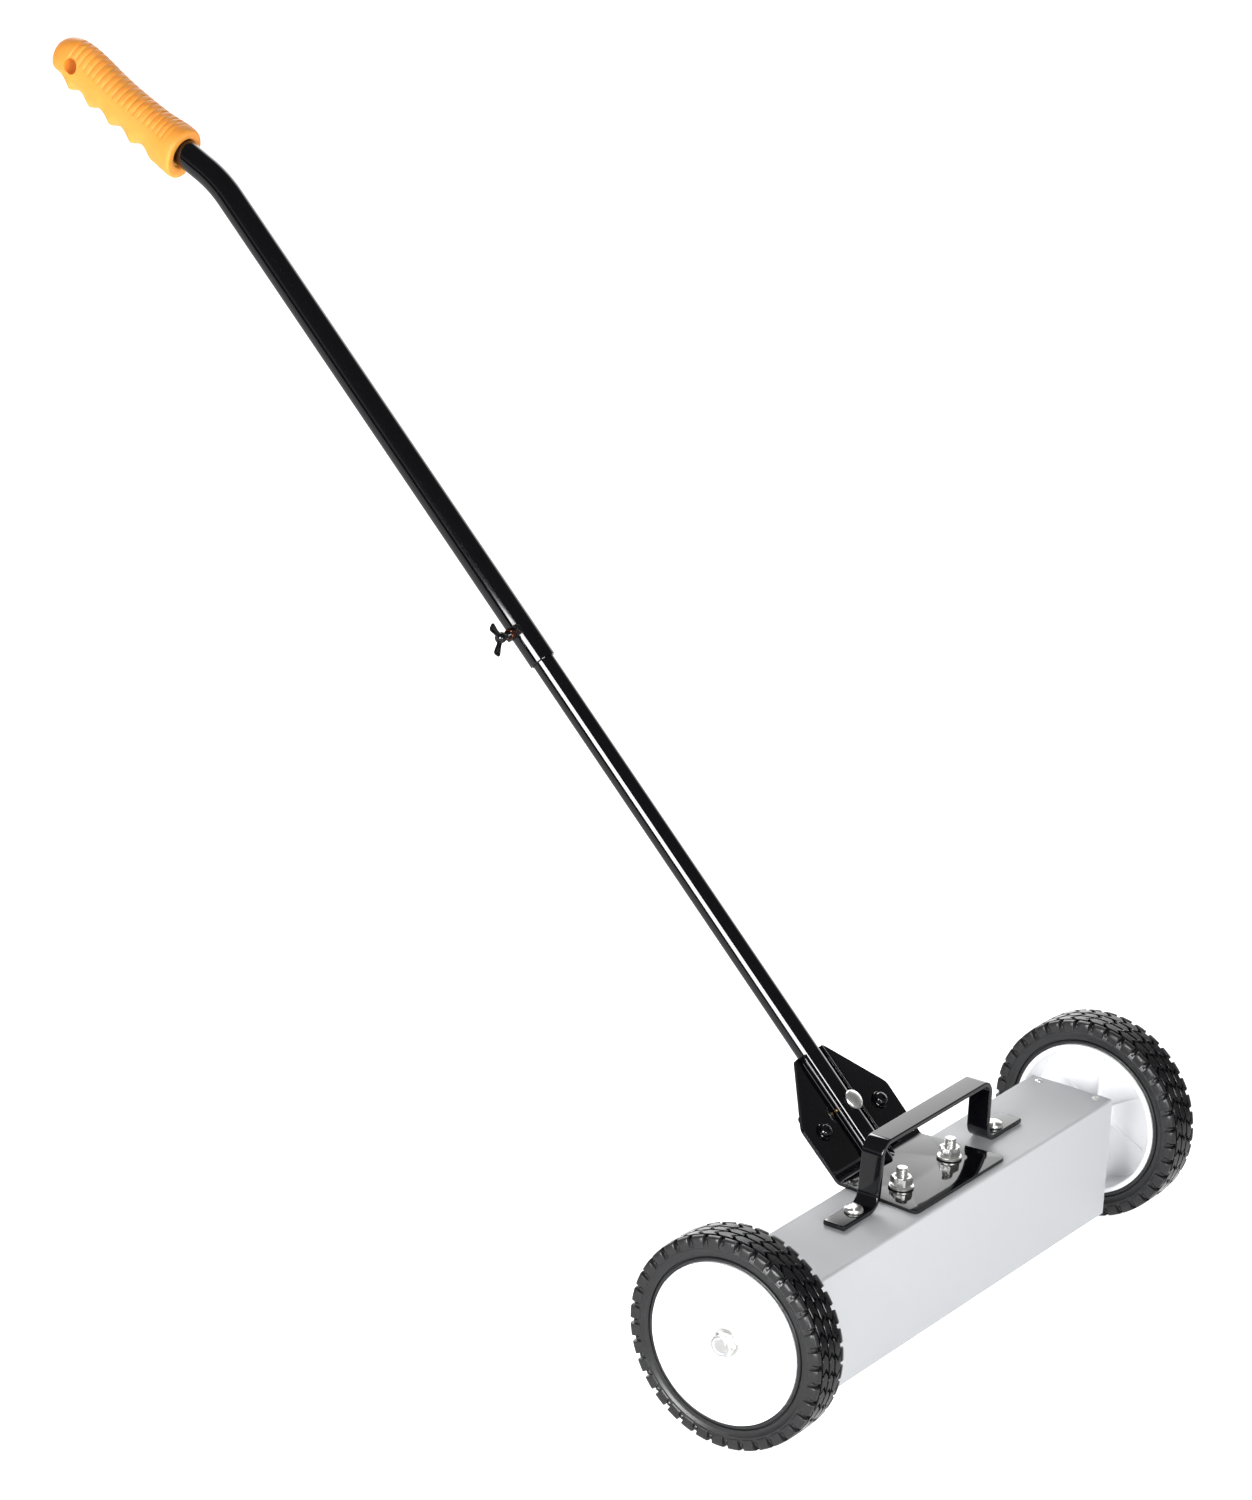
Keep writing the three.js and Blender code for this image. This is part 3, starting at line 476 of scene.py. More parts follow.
def tyre_shapes():
    """The tyre's body with its shoulder lugs, and the rows of blocks round its tread."""
    half = [(base[1], base[0]) for _, base, _ in TREAD] + [(r, x) for x, r in SIDEWALL]
    profile = [(r, -x) for r, x in reversed(half[1:])] + half
    block = 12
    body = [lathe(profile, 4 * LUGS, True)]
    rows = []
    shoulder = [(13.2, -6.0, 5.6), (14.6, -6.0, 5.6), (15.8, -5.7, 5.3), (17, -5.4, 5.0),
                (19.4, -5.2, 4.8), (22.8, -5.0, 4.6)]
    tab = [(13.8, 6.9, 8.3), (15.4, 6.9, 8.3), (17.2, 6.6, 8.6), (19.4, 6.6, 8.6)]
    for lug in range(LUGS):
        rows.append(tread_block(zigzag_rows(-3.3, 3.3, block, 2.2), 1, lug + 0.25))
        for side in (-1, 1):
            place = lug + (0.5 if side < 0 else 0)
            body.append(tread_block([(side * a, s, e) for a, s, e in shoulder], 1, place))
            body.append(tread_block([(side * a, s, e) for a, s, e in tab], 0.45, place, 0.3))
            row = zigzag_rows(side * 4.9, side * 11.9, block, 2.4 * side)
            rows.append(tread_block(row, 1, place + 0.55))
    return body, rows


def hub_shapes():
    back = -18.4
    ribs = 6
    rib_sheet = 1.6
    profile = rounded([
        (9, back), (14, back), (14, 8.6, 1.5), (40, 9.6, 3), (62.6, 10.4, 1.6), (62.9, -17.2, 0.6),
        (64, -18.2, 0.5), (67.2, -18.2, 0.5), (67.2, 18.2, 0.7), (63.9, 18.2, 0.9), (61, 14, 2.4),
        (48, 13.6, 1.2), (45.5, 12.2, 1.4), (20, 12, 3), (16, HUB_FACE, 1), (9, HUB_FACE),
    ], 0.4, 4)
    shapes = [lathe(profile, 128, True)]
    for i in range(ribs):
        outline = rounded([(12, 9.9), (63.2, 11), (63.2, 8.6), (28, 6.4, 8), (12, 2)], 0.5)
        rib = moved(plate(outline, rib_sheet), shift(z=-rib_sheet / 2))
        soften(rib, 0.4, 2)
        shapes.append(moved(rib, turn(90, "X"), turn(360 / ribs * i, "Z")))
    return shapes


def add_wheels():
    for side, sign in SIDES:
        place = wheel_place(sign)
        body = f"{side}_wheel"
        tyre, rows = tyre_shapes()
        piece(f"fine_tyre_{side}", tyre, place, body, RUBBER, [f"tyre_{side}"])
        # The tread blocks take the darker copy of the rubber: painted shade.
        piece(f"fine_tread_{side}", rows, place, body, SHADED_TREAD_RUBBER)
        piece(f"fine_hub_{side}", hub_shapes(), place, body, WHITE, [f"hub_{side}"])
        bush = sleeve(6.2, 8.7, -18.2, 12.6, 0.4)
        piece(f"fine_bush_{side}", [bush], place, body, WHITE, [f"hub_bush_{side}"])


def add_axle():
    chamfer = 1
    spacer_end = 258.7
    washer_sheet = 2
    end = [(5, AXLE_HALF), (6, AXLE_HALF - chamfer)]
    profile = [(0, -AXLE_HALF), *[(r, -x) for r, x in end], *end[::-1], (0, AXLE_HALF)]
    rod = lathe(profile, 48)
    piece("fine_axle", [rod], FROM_AXLE @ turn(90, "Y"), "housing", ZINC, ["axle_rod"])
    washer_face = WHEEL_X + HUB_FACE + GAP
    nut_face = washer_face + washer_sheet + GAP
    for side, sign in SIDES:
        place = FROM_AXLE @ Matrix.Rotation(sign * math.pi / 2, 4, "Y")
        ring = moved(washer(12, 6.3, washer_sheet), shift(z=washer_face))
        piece(f"fine_axle_washer_{side}", [ring], place, "housing", ZINC, [f"axle_washer_{side}"])
        spacer = sleeve(6.3, 9.5, HOUSING_HALF + GAP, spacer_end, 0.5)
        piece(f"fine_spacer_{side}", [spacer], place, "housing", ZINC, [f"axle_spacer_{side}"])
        body = hex_body(19, 5.5, 6.3)
        collar = lathe([(6.9, 4), (8.9, 4), (8.9, 6), (8.6, 7.1), (7.8, 7.6), (7, 7.6), (6.9, 7)], 56, True)
        nut = [moved(shape, shift(z=nut_face)) for shape in (body, collar)]
        piece(f"fine_axle_nut_{side}", nut, place, "housing", ZINC, [f"axle_nut_{side}"])
        insert = lathe([(6.2, 5), (6.85, 5), (6.85, 6.7), (6.6, 7), (6.2, 6.6)], 56, True)
        piece(f"fine_nylon_{side}", [moved(insert, shift(z=nut_face))], place, "housing", NYLON)


# ---------- housing ----------
def add_housing():
    outside = [
        (HOUSING_FRONT, HOUSING_BOTTOM, 0), (HOUSING_FRONT, HOUSING_TOP, 2.6),
        (HOUSING_BACK, HOUSING_TOP, 2.6), (HOUSING_BACK, HOUSING_BOTTOM, 0),
        (HOUSING_BACK - SHELL_SHEET, HOUSING_BOTTOM, 0),
        (HOUSING_BACK - SHELL_SHEET, HOUSING_TOP - SHELL_SHEET, 1.4),
        (HOUSING_FRONT + SHELL_SHEET, HOUSING_TOP - SHELL_SHEET, 1.4),
        (HOUSING_FRONT + SHELL_SHEET, HOUSING_BOTTOM, 0),
    ]
    outline = rounded(outside, 0, 8)
    edge = 0.3
    rings = []
    stops = [(-HOUSING_HALF, edge), (-HOUSING_HALF + edge, 0), (HOUSING_HALF - edge, 0), (HOUSING_HALF, edge)]
    half = len(outline) // 2
    for x, inset in stops:
        ring = []
        for i, (y, z) in enumerate(outline):
            twin = outline[len(outline) - 1 - i]
            step = (Vector(twin) - Vector((y, z))).normalized() * inset
            ring.append((x, y + step.x, z + step.y))
        rings.append(ring)
    shell = loft(rings, capped=False)
    for ring in (shell.verts[:len(outline)], shell.verts[-len(outline):]):
        for i in range(half - 1):
            corners = [ring[i], ring[i + 1], ring[len(outline) - 2 - i], ring[len(outline) - 1 - i]]
            shell.faces.new(corners)
    piece("fine_shell", [shell], FROM_AXLE, "housing", SILVER, ["housing_shell"], sharp=30)
    rivet_x = 227.5
    for side, sign in SIDES:
        for end, y in (("front", -27), ("back", 29)):
            place = FROM_AXLE @ shift(sign * rivet_x, y, HOUSING_TOP + GAP)
            name = f"top_rivet_{side}_{end}"
            piece(f"fine_{name}", [rivet()], place, "housing", ZINC, [name])


def rivet():
    """A blind rivet with the small dimple that its pin leaves."""
    profile = [(0, -3.2), (1.5, -3.2), (1.5, -0.1), (3.4, -0.1, 0.1), (3.3, 0.8, 0.5), (2, 1.35, 0.8),
               (0.9, 1.4, 0.2), (0.8, 0.7, 0.2), (0, 0.6)]
    return lathe(rounded(profile, 0.2, 4, False), 40)


# ---------- bracket ----------
def bend_sheet(shape, fold, radius):
    """Turns the flat pattern's far end up about the line y = fold, where the handle leans."""
    middle = PLATE_SHEET / 2
    arc = HANDLE_LEAN * radius
    for vert in shape.verts:
        x, y, z = vert.co
        past = y - fold
        if past <= 0:
            continue
        angle = min(past, arc) / radius
        reach = max(0, past - arc)
        lift = z - middle
        vert.co = (
            x,
            fold + (radius - lift) * math.sin(angle) + reach * math.cos(HANDLE_LEAN),
            middle + radius - (radius - lift) * math.cos(angle) + reach * math.sin(HANDLE_LEAN),
        )
    return shape


def bracket_shape():
    """Base plate and split flange as one sheet, flat first, then folded."""
    radius = 7
    fold_steps = 10
    middle = HOUSING_TOP + GAP + PLATE_SHEET / 2
    rise = (middle - HANDLE_FOOT[2]) / math.sin(HANDLE_LEAN)
    corner = HANDLE_FOOT[1] + rise * math.cos(HANDLE_LEAN)
    setback = radius * math.tan(HANDLE_LEAN / 2)
    fold = corner - setback
    flat_foot = fold + radius * HANDLE_LEAN - setback - rise

    def up(distance):
        """Where a distance up the flange from the handle's foot lies on the flat pattern."""
        return flat_foot + distance

    slot = CHANNEL_OUTER + GAP
    top = up(107)
    half = [(70, -32.5, 6), (63, fold, 3), (64, up(54.5), 4), (21, top, 2), (slot, top, 1.5),
            (slot, up(4.2), 2)]
    outline = rounded([(-x, y, r) for x, y, r in half] + half[::-1], 1, 5)
    screw_x, screw_up = FLANGE_SCREW_AT
    stud_x, stud_y = STUD_AT
    centres = [(-screw_x, up(screw_up), 3.3), (screw_x, up(screw_up), 3.3),
               (-stud_x, stud_y, 5.2), (stud_x, stud_y, 5.2)]
    holes = [[(x + cx, y + cy) for x, y in circle(size, 32)] for cx, cy, size in centres]
    sheet = plate(outline, PLATE_SHEET, holes)
    soften(sheet, 0.85, 4)
    arc = HANDLE_LEAN * radius
    for i in range(fold_steps + 1):
        at = fold + arc * i / fold_steps
        geometry = sheet.verts[:] + sheet.edges[:] + sheet.faces[:]
        bmesh.ops.bisect_plane(sheet, geom=geometry, plane_co=(0, at, 0), plane_no=(0, 1, 0), dist=1e-4)
    bend_sheet(sheet, fold, radius)
    return moved(sheet, shift(z=HOUSING_TOP + GAP))


def foot_cut(y):
    """How far up the handle's own frame a line at y meets the level cut at its foot."""
    return (FOOT_CUT - HANDLE_FOOT[2] + y * math.cos(HANDLE_LEAN)) / math.sin(HANDLE_LEAN)


def half_ring(radius, middle, turns):
    """Points of (x, y) round (0, middle), at angles given in half turns."""
    return [(radius * math.cos(math.pi * t), middle + radius * math.sin(math.pi * t)) for t in turns]


def channel_shapes():
    """The half-round channel with rounded lips, and the two wings that screw to the flange's back."""
    depth = 10.3
    centre = depth - CHANNEL_INNER
    lip = -6.3
    middle = (CHANNEL_INNER + CHANNEL_OUTER) / 2
    nose = (CHANNEL_OUTER - CHANNEL_INNER) / 2
    blunt = 0.9
    top = 107
    steps = 28
    turns = [i / steps for i in range(steps + 1)]

    def tip(side):
        angles = [math.pi * k / 6 for k in range(1, 6)]
        return [(side * middle - nose * math.cos(a), lip + blunt - blunt * math.sin(a)) for a in angles]

    outside = half_ring(CHANNEL_OUTER, centre, turns)
    inside = half_ring(CHANNEL_INNER, centre, [1 - t for t in turns])
    outline = [(CHANNEL_OUTER, lip + blunt), *outside, (-CHANNEL_OUTER, lip + blunt), *tip(-1)]
    outline += [(-CHANNEL_INNER, lip + blunt), *inside, (CHANNEL_INNER, lip + blunt), *tip(1)]
    rings = [[(x, y, foot_cut(y)) for x, y in outline]]
    rings += [[(x, y, z) for x, y in outline] for z in (30, 60, 90, top - 0.6)]
    rings.append([(x * 0.985, y, top) for x, y in outline])
    shapes = [loft(rings)]
    front = PLATE_SHEET / 2 + GAP
    root = 13
    screw_x, screw_up = FLANGE_SCREW_AT
    for sign in (-1, 1):
        outline = rounded([(0, 22, 0), (43, 22, 6), (43, 66, 6), (0, 66, 0)], 0, 5)
        hole = [(x + screw_x - root, y + screw_up) for x, y in circle(3.3, 32)]
        wing = soften(plate(outline, CHANNEL_OUTER - CHANNEL_INNER, [hole]), 0.6, 3)
        # The wing's outline is X and up the tube; its thickness goes back from the flange.
        place = Matrix(((sign, 0, 0, sign * root), (0, 0, 1, front), (0, 1, 0, 0), (0, 0, 0, 1)))
        shapes.append(moved(wing, place))
    return shapes


def facing_front(shape, back=0):
    """Turns a shape's +Z to look out of the front of the handle's frame, from a distance behind it."""
    return moved(shape, turn(90, "X"), shift(y=back))


def cross_cutters(reach, width, depth, top):
    """The two tapered slots of a crosshead recess, sunk from height top."""
    above = 0.6
    point = reach * 0.45
    cutters = []
    for angle in (0, 90):
        outline = [(-reach, above), (reach, above), (point, -depth), (-point, -depth)]
        arm = moved(plate(outline, width), shift(z=-width / 2), turn(90, "X"))
        cutters.append(moved(arm, shift(z=top), turn(angle, "Z")))
    return cutters


def add_bracket():
    piece("fine_bracket", [bracket_shape()], FROM_AXLE, "housing", BLACK, ["bracket_plate"], sharp=50)
    piece("fine_channel", channel_shapes(), HANDLE, "housing", BLACK, ["clamp_channel"])
    dome = lathe(rounded([(0, -20), (3.9, -20), (3.9, 12), (8.7, 12, 0.2), (9, 12.7, 0.4),
                          (8.5, 13.9, 1.2), (5, 15.8, 3), (0, 16.3)], 0.3, 6, False), 64)
    shank = thread(4, -24, -19, 1.25)
    bolt = [facing_front(dome), facing_front(shank)]
    place = HANDLE @ shift(z=BOLT_AT)
    piece("fine_channel_bolt", bolt, place, "housing", ZINC, ["channel_bolt"])
    nut_depth = 6.5
    behind = 12.5 + 2 * GAP
    nut = facing_front(hex_body(13, nut_depth, 4.3), behind + nut_depth)
    piece("fine_channel_bolt_nut", [nut], place, "housing", ZINC, ["channel_bolt_nut"])
    pin = lathe(rounded([(0, 10.2), (1.6, 10.2), (1.7, 17), (1.2, 17.6), (0, 17.4)], 0.3, 3, False), 24)
    pin = moved(pin, turn(-90, "Y"), shift(y=-3.6))
    piece("fine_locating_screw", [pin], place, "housing", BRASS, ["locating_screw"])
    for side, sign in SIDES:
        add_flange_screw(side, sign)


def add_flange_screw(side, sign):
    """A crosshead screw through the flange on a raised washer, with its nut behind the wing."""
    washer_sheet = 1.2
    face = PLATE_SHEET / 2 + GAP
    foot = face + washer_sheet + GAP
    top = foot + 4
    screw_x, screw_up = FLANGE_SCREW_AT
    at = HANDLE @ shift(sign * screw_x, 0, screw_up)
    ring = facing_front(moved(washer(7.5, 3.3, washer_sheet), shift(z=face)))
    piece(f"fine_bracket_washer_{side}", [ring], at, "housing", BLACK, [f"bracket_washer_{side}"])
    head = lathe(rounded([(0, -10), (2.9, -10), (2.9, foot), (5.8, foot, 0.1), (6, foot + 1, 0.5),
                          (5, foot + 3, 1.6), (2.5, foot + 3.9, 1.5), (0, top)], 0.3, 5, False), 56)
    stem = thread(3, -14, -9, 1.0, 24)
    recess = [moved(arm, turn(20 * sign, "Z"), turn(90, "X")) for arm in cross_cutters(2.7, 1.1, 2.2, top)]
    piece(f"fine_bracket_screw_{side}", [facing_front(head), facing_front(stem)], at, "housing", BLACK,
          [f"bracket_screw_{side}"], cutters=recess)
    nut_depth = 5
    behind = face + CHANNEL_OUTER - CHANNEL_INNER + GAP
    nut = facing_front(hex_body(10, nut_depth, 3.3), behind + nut_depth)
    piece(f"fine_bracket_nut_{side}", [nut], at, "housing", ZINC, [f"bracket_screw_nut_{side}"])


def add_plate_bolts():
    stud_x, stud_y = STUD_AT
    washer_sheet = 1.8
    nut_face = PLATE_TOP + washer_sheet + 2 * GAP
    head_depth = 6
    head_top = HOUSING_TOP - SHELL_SHEET - GAP
    nut_turns = {"left": 22, "right": 9}
    for side, sign in SIDES:
        place = FROM_AXLE @ shift(sign * stud_x, stud_y)
        head = moved(hex_body(16, head_depth, 1), shift(z=head_top - head_depth))
        stud = thread(4.9, head_top - 1, 59, 1.5, 40, 8)
        piece(f"fine_stud_{side}", [head, stud], place, "housing", ZINC, [f"plate_bolt_{side}"])
        ring = moved(washer(10.5, 5.2, washer_sheet), shift(z=PLATE_TOP + GAP))
        piece(f"fine_stud_washer_{side}", [ring], place, "housing", ZINC, [f"plate_washer_{side}"])
        nut = moved(hex_body(16, 7.6, 5.2), turn(nut_turns[side], "Z"), shift(z=nut_face))
        piece(f"fine_stud_nut_{side}", [nut], place, "housing", ZINC, [f"plate_nut_{side}"])


# ---------- carry handle ----------
def round_corners(corners, steps):
    """Points, each with its direction, along a polyline of (x, z, radius) with arcs at its corners."""
    points = [Vector(corner[:2]) for corner in corners]
    line = [(points[0], (points[1] - points[0]).normalized())]
    for before, here, after, (_, _, radius) in zip(points, points[1:], points[2:], corners[1:]):
        into = (here - before).normalized()
        out = (after - here).normalized()
        angle = math.atan2(into.x * out.y - into.y * out.x, into.dot(out))
        start = here - into * radius * math.tan(abs(angle) / 2)
        side = math.copysign(1, angle)
        centre = start + Vector((-into.y, into.x)) * side * radius
        for k in range(steps + 1):
            spin = Matrix.Rotation(angle * k / steps, 2)
            line.append((centre + spin @ (start - centre), spin @ into))
    line.append((points[-1], (points[-1] - points[-2]).normalized()))
    return line


def strap_shape():
    """One flat bar bent into a hat, with its section rounded and its ends eased."""
    thin, wide = STRAP_SHEET / 2, STRAP_WIDTH / 2
    foot = HOUSING_TOP + GAP + thin
    top = STRAP_TOP - thin
    # The left riser splays out a little at its foot.
    corners = [(-137.8, foot, 0), (-86.5, foot, 13), (-83, top, 11),
               (83, top, 11), (83, foot, 12), (137.8, foot, 0)]
    line = round_corners(corners, 14)
    section = rounded([(-thin, -wide), (thin, -wide), (thin, wide), (-thin, wide)], 1.1, 5)
    ends = [(0, 0.8), (0.35, 0.94), (1.0, 1.0)]
    first, last = line[0], line[-1]
    stations = [(first[0] + first[1] * d, first[1], s) for d, s in ends]
    stations += [(point, along, 1.0) for point, along in line[1:-1]]
    stations += [(last[0] - last[1] * d, last[1], s) for d, s in reversed(ends)]
    rings = []
    for point, along, size in stations:
        across = Vector((-along.y, along.x))
        trim = thin * (1 - size)
        ring = []
        for offset, y in section:
            side = math.copysign(max(0, abs(y) - trim), y)
            spot = point + across * offset * size
            ring.append((spot.x, side, spot.y))
        rings.append(ring)
    return loft(rings)


def pan_head(foot):
    profile = [(0, foot - 9), (3.9, foot - 9), (3.9, foot), (7.9, foot, 0.1), (8.1, foot + 1.3, 0.8),
               (7.3, foot + 3.4, 1.6), (4.5, foot + 4.7, 1.8), (0, foot + 4.8)]
    return lathe(rounded(profile, 0.3, 6, False), 64)


def screw_slot(reach, half, low, high):
    """The cutter for a straight slot across a screw's head."""
    outline = [(-reach, -half), (reach, -half), (reach, half), (-reach, half)]
    return soften(moved(plate(outline, high - low), shift(z=low)), 0.05, 1)


def add_carry_handle():
    place = FROM_AXLE @ shift(4, 5.5)
    piece("fine_carry_handle", [strap_shape()], place, "housing", BLACK, ["carry_handle"], sharp=50)
    foot_top = HOUSING_TOP + GAP + STRAP_SHEET + GAP
    low = HOUSING_TOP - SHELL_SHEET - GAP
    nut_depth = 6.5
    for side, sign in SIDES:
        at = place @ shift(sign * STRAP_SCREW_AT)
        slot = moved(screw_slot(10, 0.8, foot_top + 3.1, foot_top + 8), turn(35, "Z"))
        stem = thread(4, low - 10, foot_top - 8, 1.25)
        piece(f"fine_carry_screw_{side}", [pan_head(foot_top), stem], at, "housing", ZINC,
              [f"carry_screw_{side}"], cutters=[slot])
        nut = moved(hex_body(13, nut_depth, 4.3), shift(z=low - nut_depth))
        piece(f"fine_carry_nut_{side}", [nut], at, "housing", ZINC, [f"carry_screw_nut_{side}"])


# ---------- handle ----------
def pipe_rings(stations, radius, sides=72):
    """Rings of a pipe through stations of (y, z, lean, extra radius)."""
    rings = []
    for y, z, lean, extra in stations:
        ring = []
        for k in range(sides):
            angle = math.tau * k / sides
            across = (radius + extra) * math.sin(angle)
            x = (radius + extra) * math.cos(angle)
            ring.append((x, y + across * math.cos(lean), z - across * math.sin(lean)))
        rings.append(ring)
    return rings


def lower_tube_shape():
    """A straight pipe, cut level at its foot and eased at its upper end."""
    edge = 0.4
    above_cut = 80

    def ring(radius, height=None):
        return [(x, y, foot_cut(y) if height is None else height) for x, y in circle(radius, 64)]

    outside, inside = LOWER_TUBE_RADIUS, LOWER_TUBE_RADIUS - TUBE_WALL
    outer = [ring(outside), ring(outside, above_cut), ring(outside, LOWER_TUBE_TOP - 0.5)]
    outer.append(ring(outside - edge, LOWER_TUBE_TOP))
    inner = [ring(inside, LOWER_TUBE_TOP - edge), ring(inside, above_cut), ring(inside)]
    return loft(outer + inner, closed=True)


def on_bend(angle):
    """(y, z) on the upper tube's axis, part of the way round its bend."""
    return BEND_RADIUS * (1 - math.cos(angle)), BEND_START + BEND_RADIUS * math.sin(angle)


def after_bend(distance):
    y, z = on_bend(BEND_ANGLE)
    return y + distance * math.sin(BEND_ANGLE), z + distance * math.cos(BEND_ANGLE)


def upper_tube_shape():
    """The wider pipe, with rings beside its screw hole, one bend, and a rounded lip at its open end."""
    bend_steps = 20
    lip = [(0, UPPER_TUBE_START + rise, 0, inset)
           for rise, inset in ((0, -0.6), (0.15, -0.25), (0.6, -0.04), (1.2, 0))]
    straight = (UPPER_TUBE_START + 1.6, WING_SCREW_AT - 6, WING_SCREW_AT + 6, 700, 900)
    line = [(0, z, 0, 0) for z in straight]
    for i in range(bend_steps + 1):
        angle = BEND_ANGLE * i / bend_steps
        line.append((*on_bend(angle), angle, 0))
    line.append((*after_bend(GRIP_START + BORE_DEPTH - 4), BEND_ANGLE, 0))
    outer = pipe_rings(lip + line, UPPER_TUBE_RADIUS)
    inner = pipe_rings([(0, UPPER_TUBE_START + 0.2, 0, 0)] + line, UPPER_TUBE_RADIUS - TUBE_WALL)
    return loft(outer + inner[::-1], closed=True)


def swell(value, centre, spread):
    return math.exp(-(((value - centre) / spread) ** 2))


def grip_section(t):
    """How far the grip stands from its axis above, below and to the sides, at t from its mouth."""
    blunt = max(0, (t - 134) / (GRIP_LENGTH - 134))
    nose = 0.998 * (1 - min(1, blunt) ** 2.5) ** 0.4
    lip = max(0, 1 - t / 4)
    mouth = 1 - 0.08 * (1 - math.sqrt(1 - lip ** 2))
    above = 18.6 + 2.6 * swell(t, 12, 20) + 5.4 * swell(t, 127, 30)
    scallop = 6.4 * abs(math.sin(math.pi * (t - 53) / 26)) ** 1.2 if 27 < t < 157 else 0
    below = 25 - 0.024 * max(0, t - 49) - scallop
    blend = min(1, max(0, (t - 95) / 45))
    beside = 17.6 + 3.6 * swell(t, 4, 20) - 2.4 * blend * blend * (3 - 2 * blend)
    return above * nose * mouth, below * nose * mouth, beside * nose * mouth


def mouth_lean(t, y):
    """The mouth is cut a little obliquely: its upper lip lies further back than its lower one."""
    return (2.8 - 0.15 * y) * max(0, 1 - t / 45) ** 2


def grip_shape():
    sides, steps = 120, 400
    rib_pitch, rib_depth = 6.3, 0.75
    first_rib, last_rib, fade_length = 11, 143, 3
    rings = []
    for s in range(steps + 1):
        t = (GRIP_LENGTH - GAP) * s / steps
        above, below, beside = grip_section(t)
        fade = min(1, max(0, (t - first_rib) / fade_length)) * min(1, max(0, (last_rib - t) / fade_length))
        wave = math.cos(math.tau * (t - first_rib - 1) / rib_pitch)
        groove = fade * rib_depth * max(0, wave) ** 0.8
        ring = []
        for k in range(sides):
            angle = math.tau * k / sides
            lift = math.sin(angle)
            # Ribs cover the upper side and die out on its flanks.
            cover = min(1, max(0, (-lift - 0.28) / 0.16))
            cut = 1 - groove * cover / max(above, 1)
            y = lift * (below if lift > 0 else above)
            ring.append((beside * math.cos(angle) * cut, y * cut, t + mouth_lean(t, y)))
        rings.append(ring)
    # Rings of the bore as (radius, depth, drop). The mouth is wider than the tube, mostly below it.
    inside = [(12.3, BORE_DEPTH - 1, 0), (12.3, 4, 0), (12.5, 3.6, 0), (13.1, 3.4, 0.5), (13.4, 3, 0.9),
              (13.5, 1.6, 0.9), (13.9, 0.5, 0.9), (14.6, 0, 0.9)]
    bore = [[(0, 0, BORE_DEPTH)], [(x, y, BORE_DEPTH) for x, y in circle(12, sides)]]
    bore += [[(x, y + d, z + mouth_lean(z, y + d)) for x, y in circle(r, sides)] for r, z, d in inside]
    return loft(bore + rings)


def screw_hole():
    """The cutter for the wing screw's hole, which points the way the screw does."""
    return moved(lathe([(0, 5), (3.3, 5), (3.3, 20), (0, 20)], 32), turn(-90, "Y"))


def hanging_hole():
    """The cutter for the hole across the grip, flared at both ends."""
    end = [(6.8, 14.6), (8.6, 17), (8.6, 40)]
    profile = [(0, -40), *[(r, -x) for r, x in end[::-1]], *end, (0, 40)]
    hole = lathe(rounded(profile, 1.2, 4, False), 56)
    return moved(hole, turn(90, "Y"), shift(y=-3, z=HANGING_HOLE_AT))


def add_handle():
    piece("fine_lower_tube", [lower_tube_shape()], HANDLE, "housing", TUBE, ["lower_tube"])
    tapped = moved(screw_hole(), shift(z=WING_SCREW_AT))
    piece("fine_upper_tube", [upper_tube_shape()], HANDLE, "handle", TUBE, ["upper_tube"], cutters=[tapped])
    mouth_y, mouth_z = after_bend(GRIP_START)
    place = HANDLE @ shift(0, mouth_y, mouth_z) @ Matrix.Rotation(-BEND_ANGLE, 4, "X")
    piece("fine_grip", [grip_shape()], place, "handle", ORANGE, ["grip"], cutters=[hanging_hole()])


def wing_shape(turned):
    """One wing of the screw, a rounded blade that flares out and back from its hub."""
    sides = 20
    rings = []
    # (distance out, middle, half height, half thickness)
    stops = [(2, 0, 3.2, 1.7), (4.8, 0, 2.5, 1.4), (7, -0.1, 2.6, 1.1), (10, -0.1, 3.3, 1.0),
             (13.4, -0.2, 4.0, 1.0), (15.2, -0.3, 3.6, 0.95), (16, -0.5, 2.4, 0.6)]
    for out, middle, tall, thick in stops:
        ring = []
        for k in range(sides):
            angle = math.tau * k / sides
            c, s = math.cos(angle), math.sin(angle)
            square = 1 / max(abs(c) ** 4 + abs(s) ** 4, 1e-6) ** 0.25
            ring.append((thick * c * square, middle + tall * s * square, out))
        rings.append(ring)
    blade = loft(rings)
    return moved(blade, turn(90, "Z"), turn(-38, "Y"), turn(turned + 30, "X"), shift(x=-30))


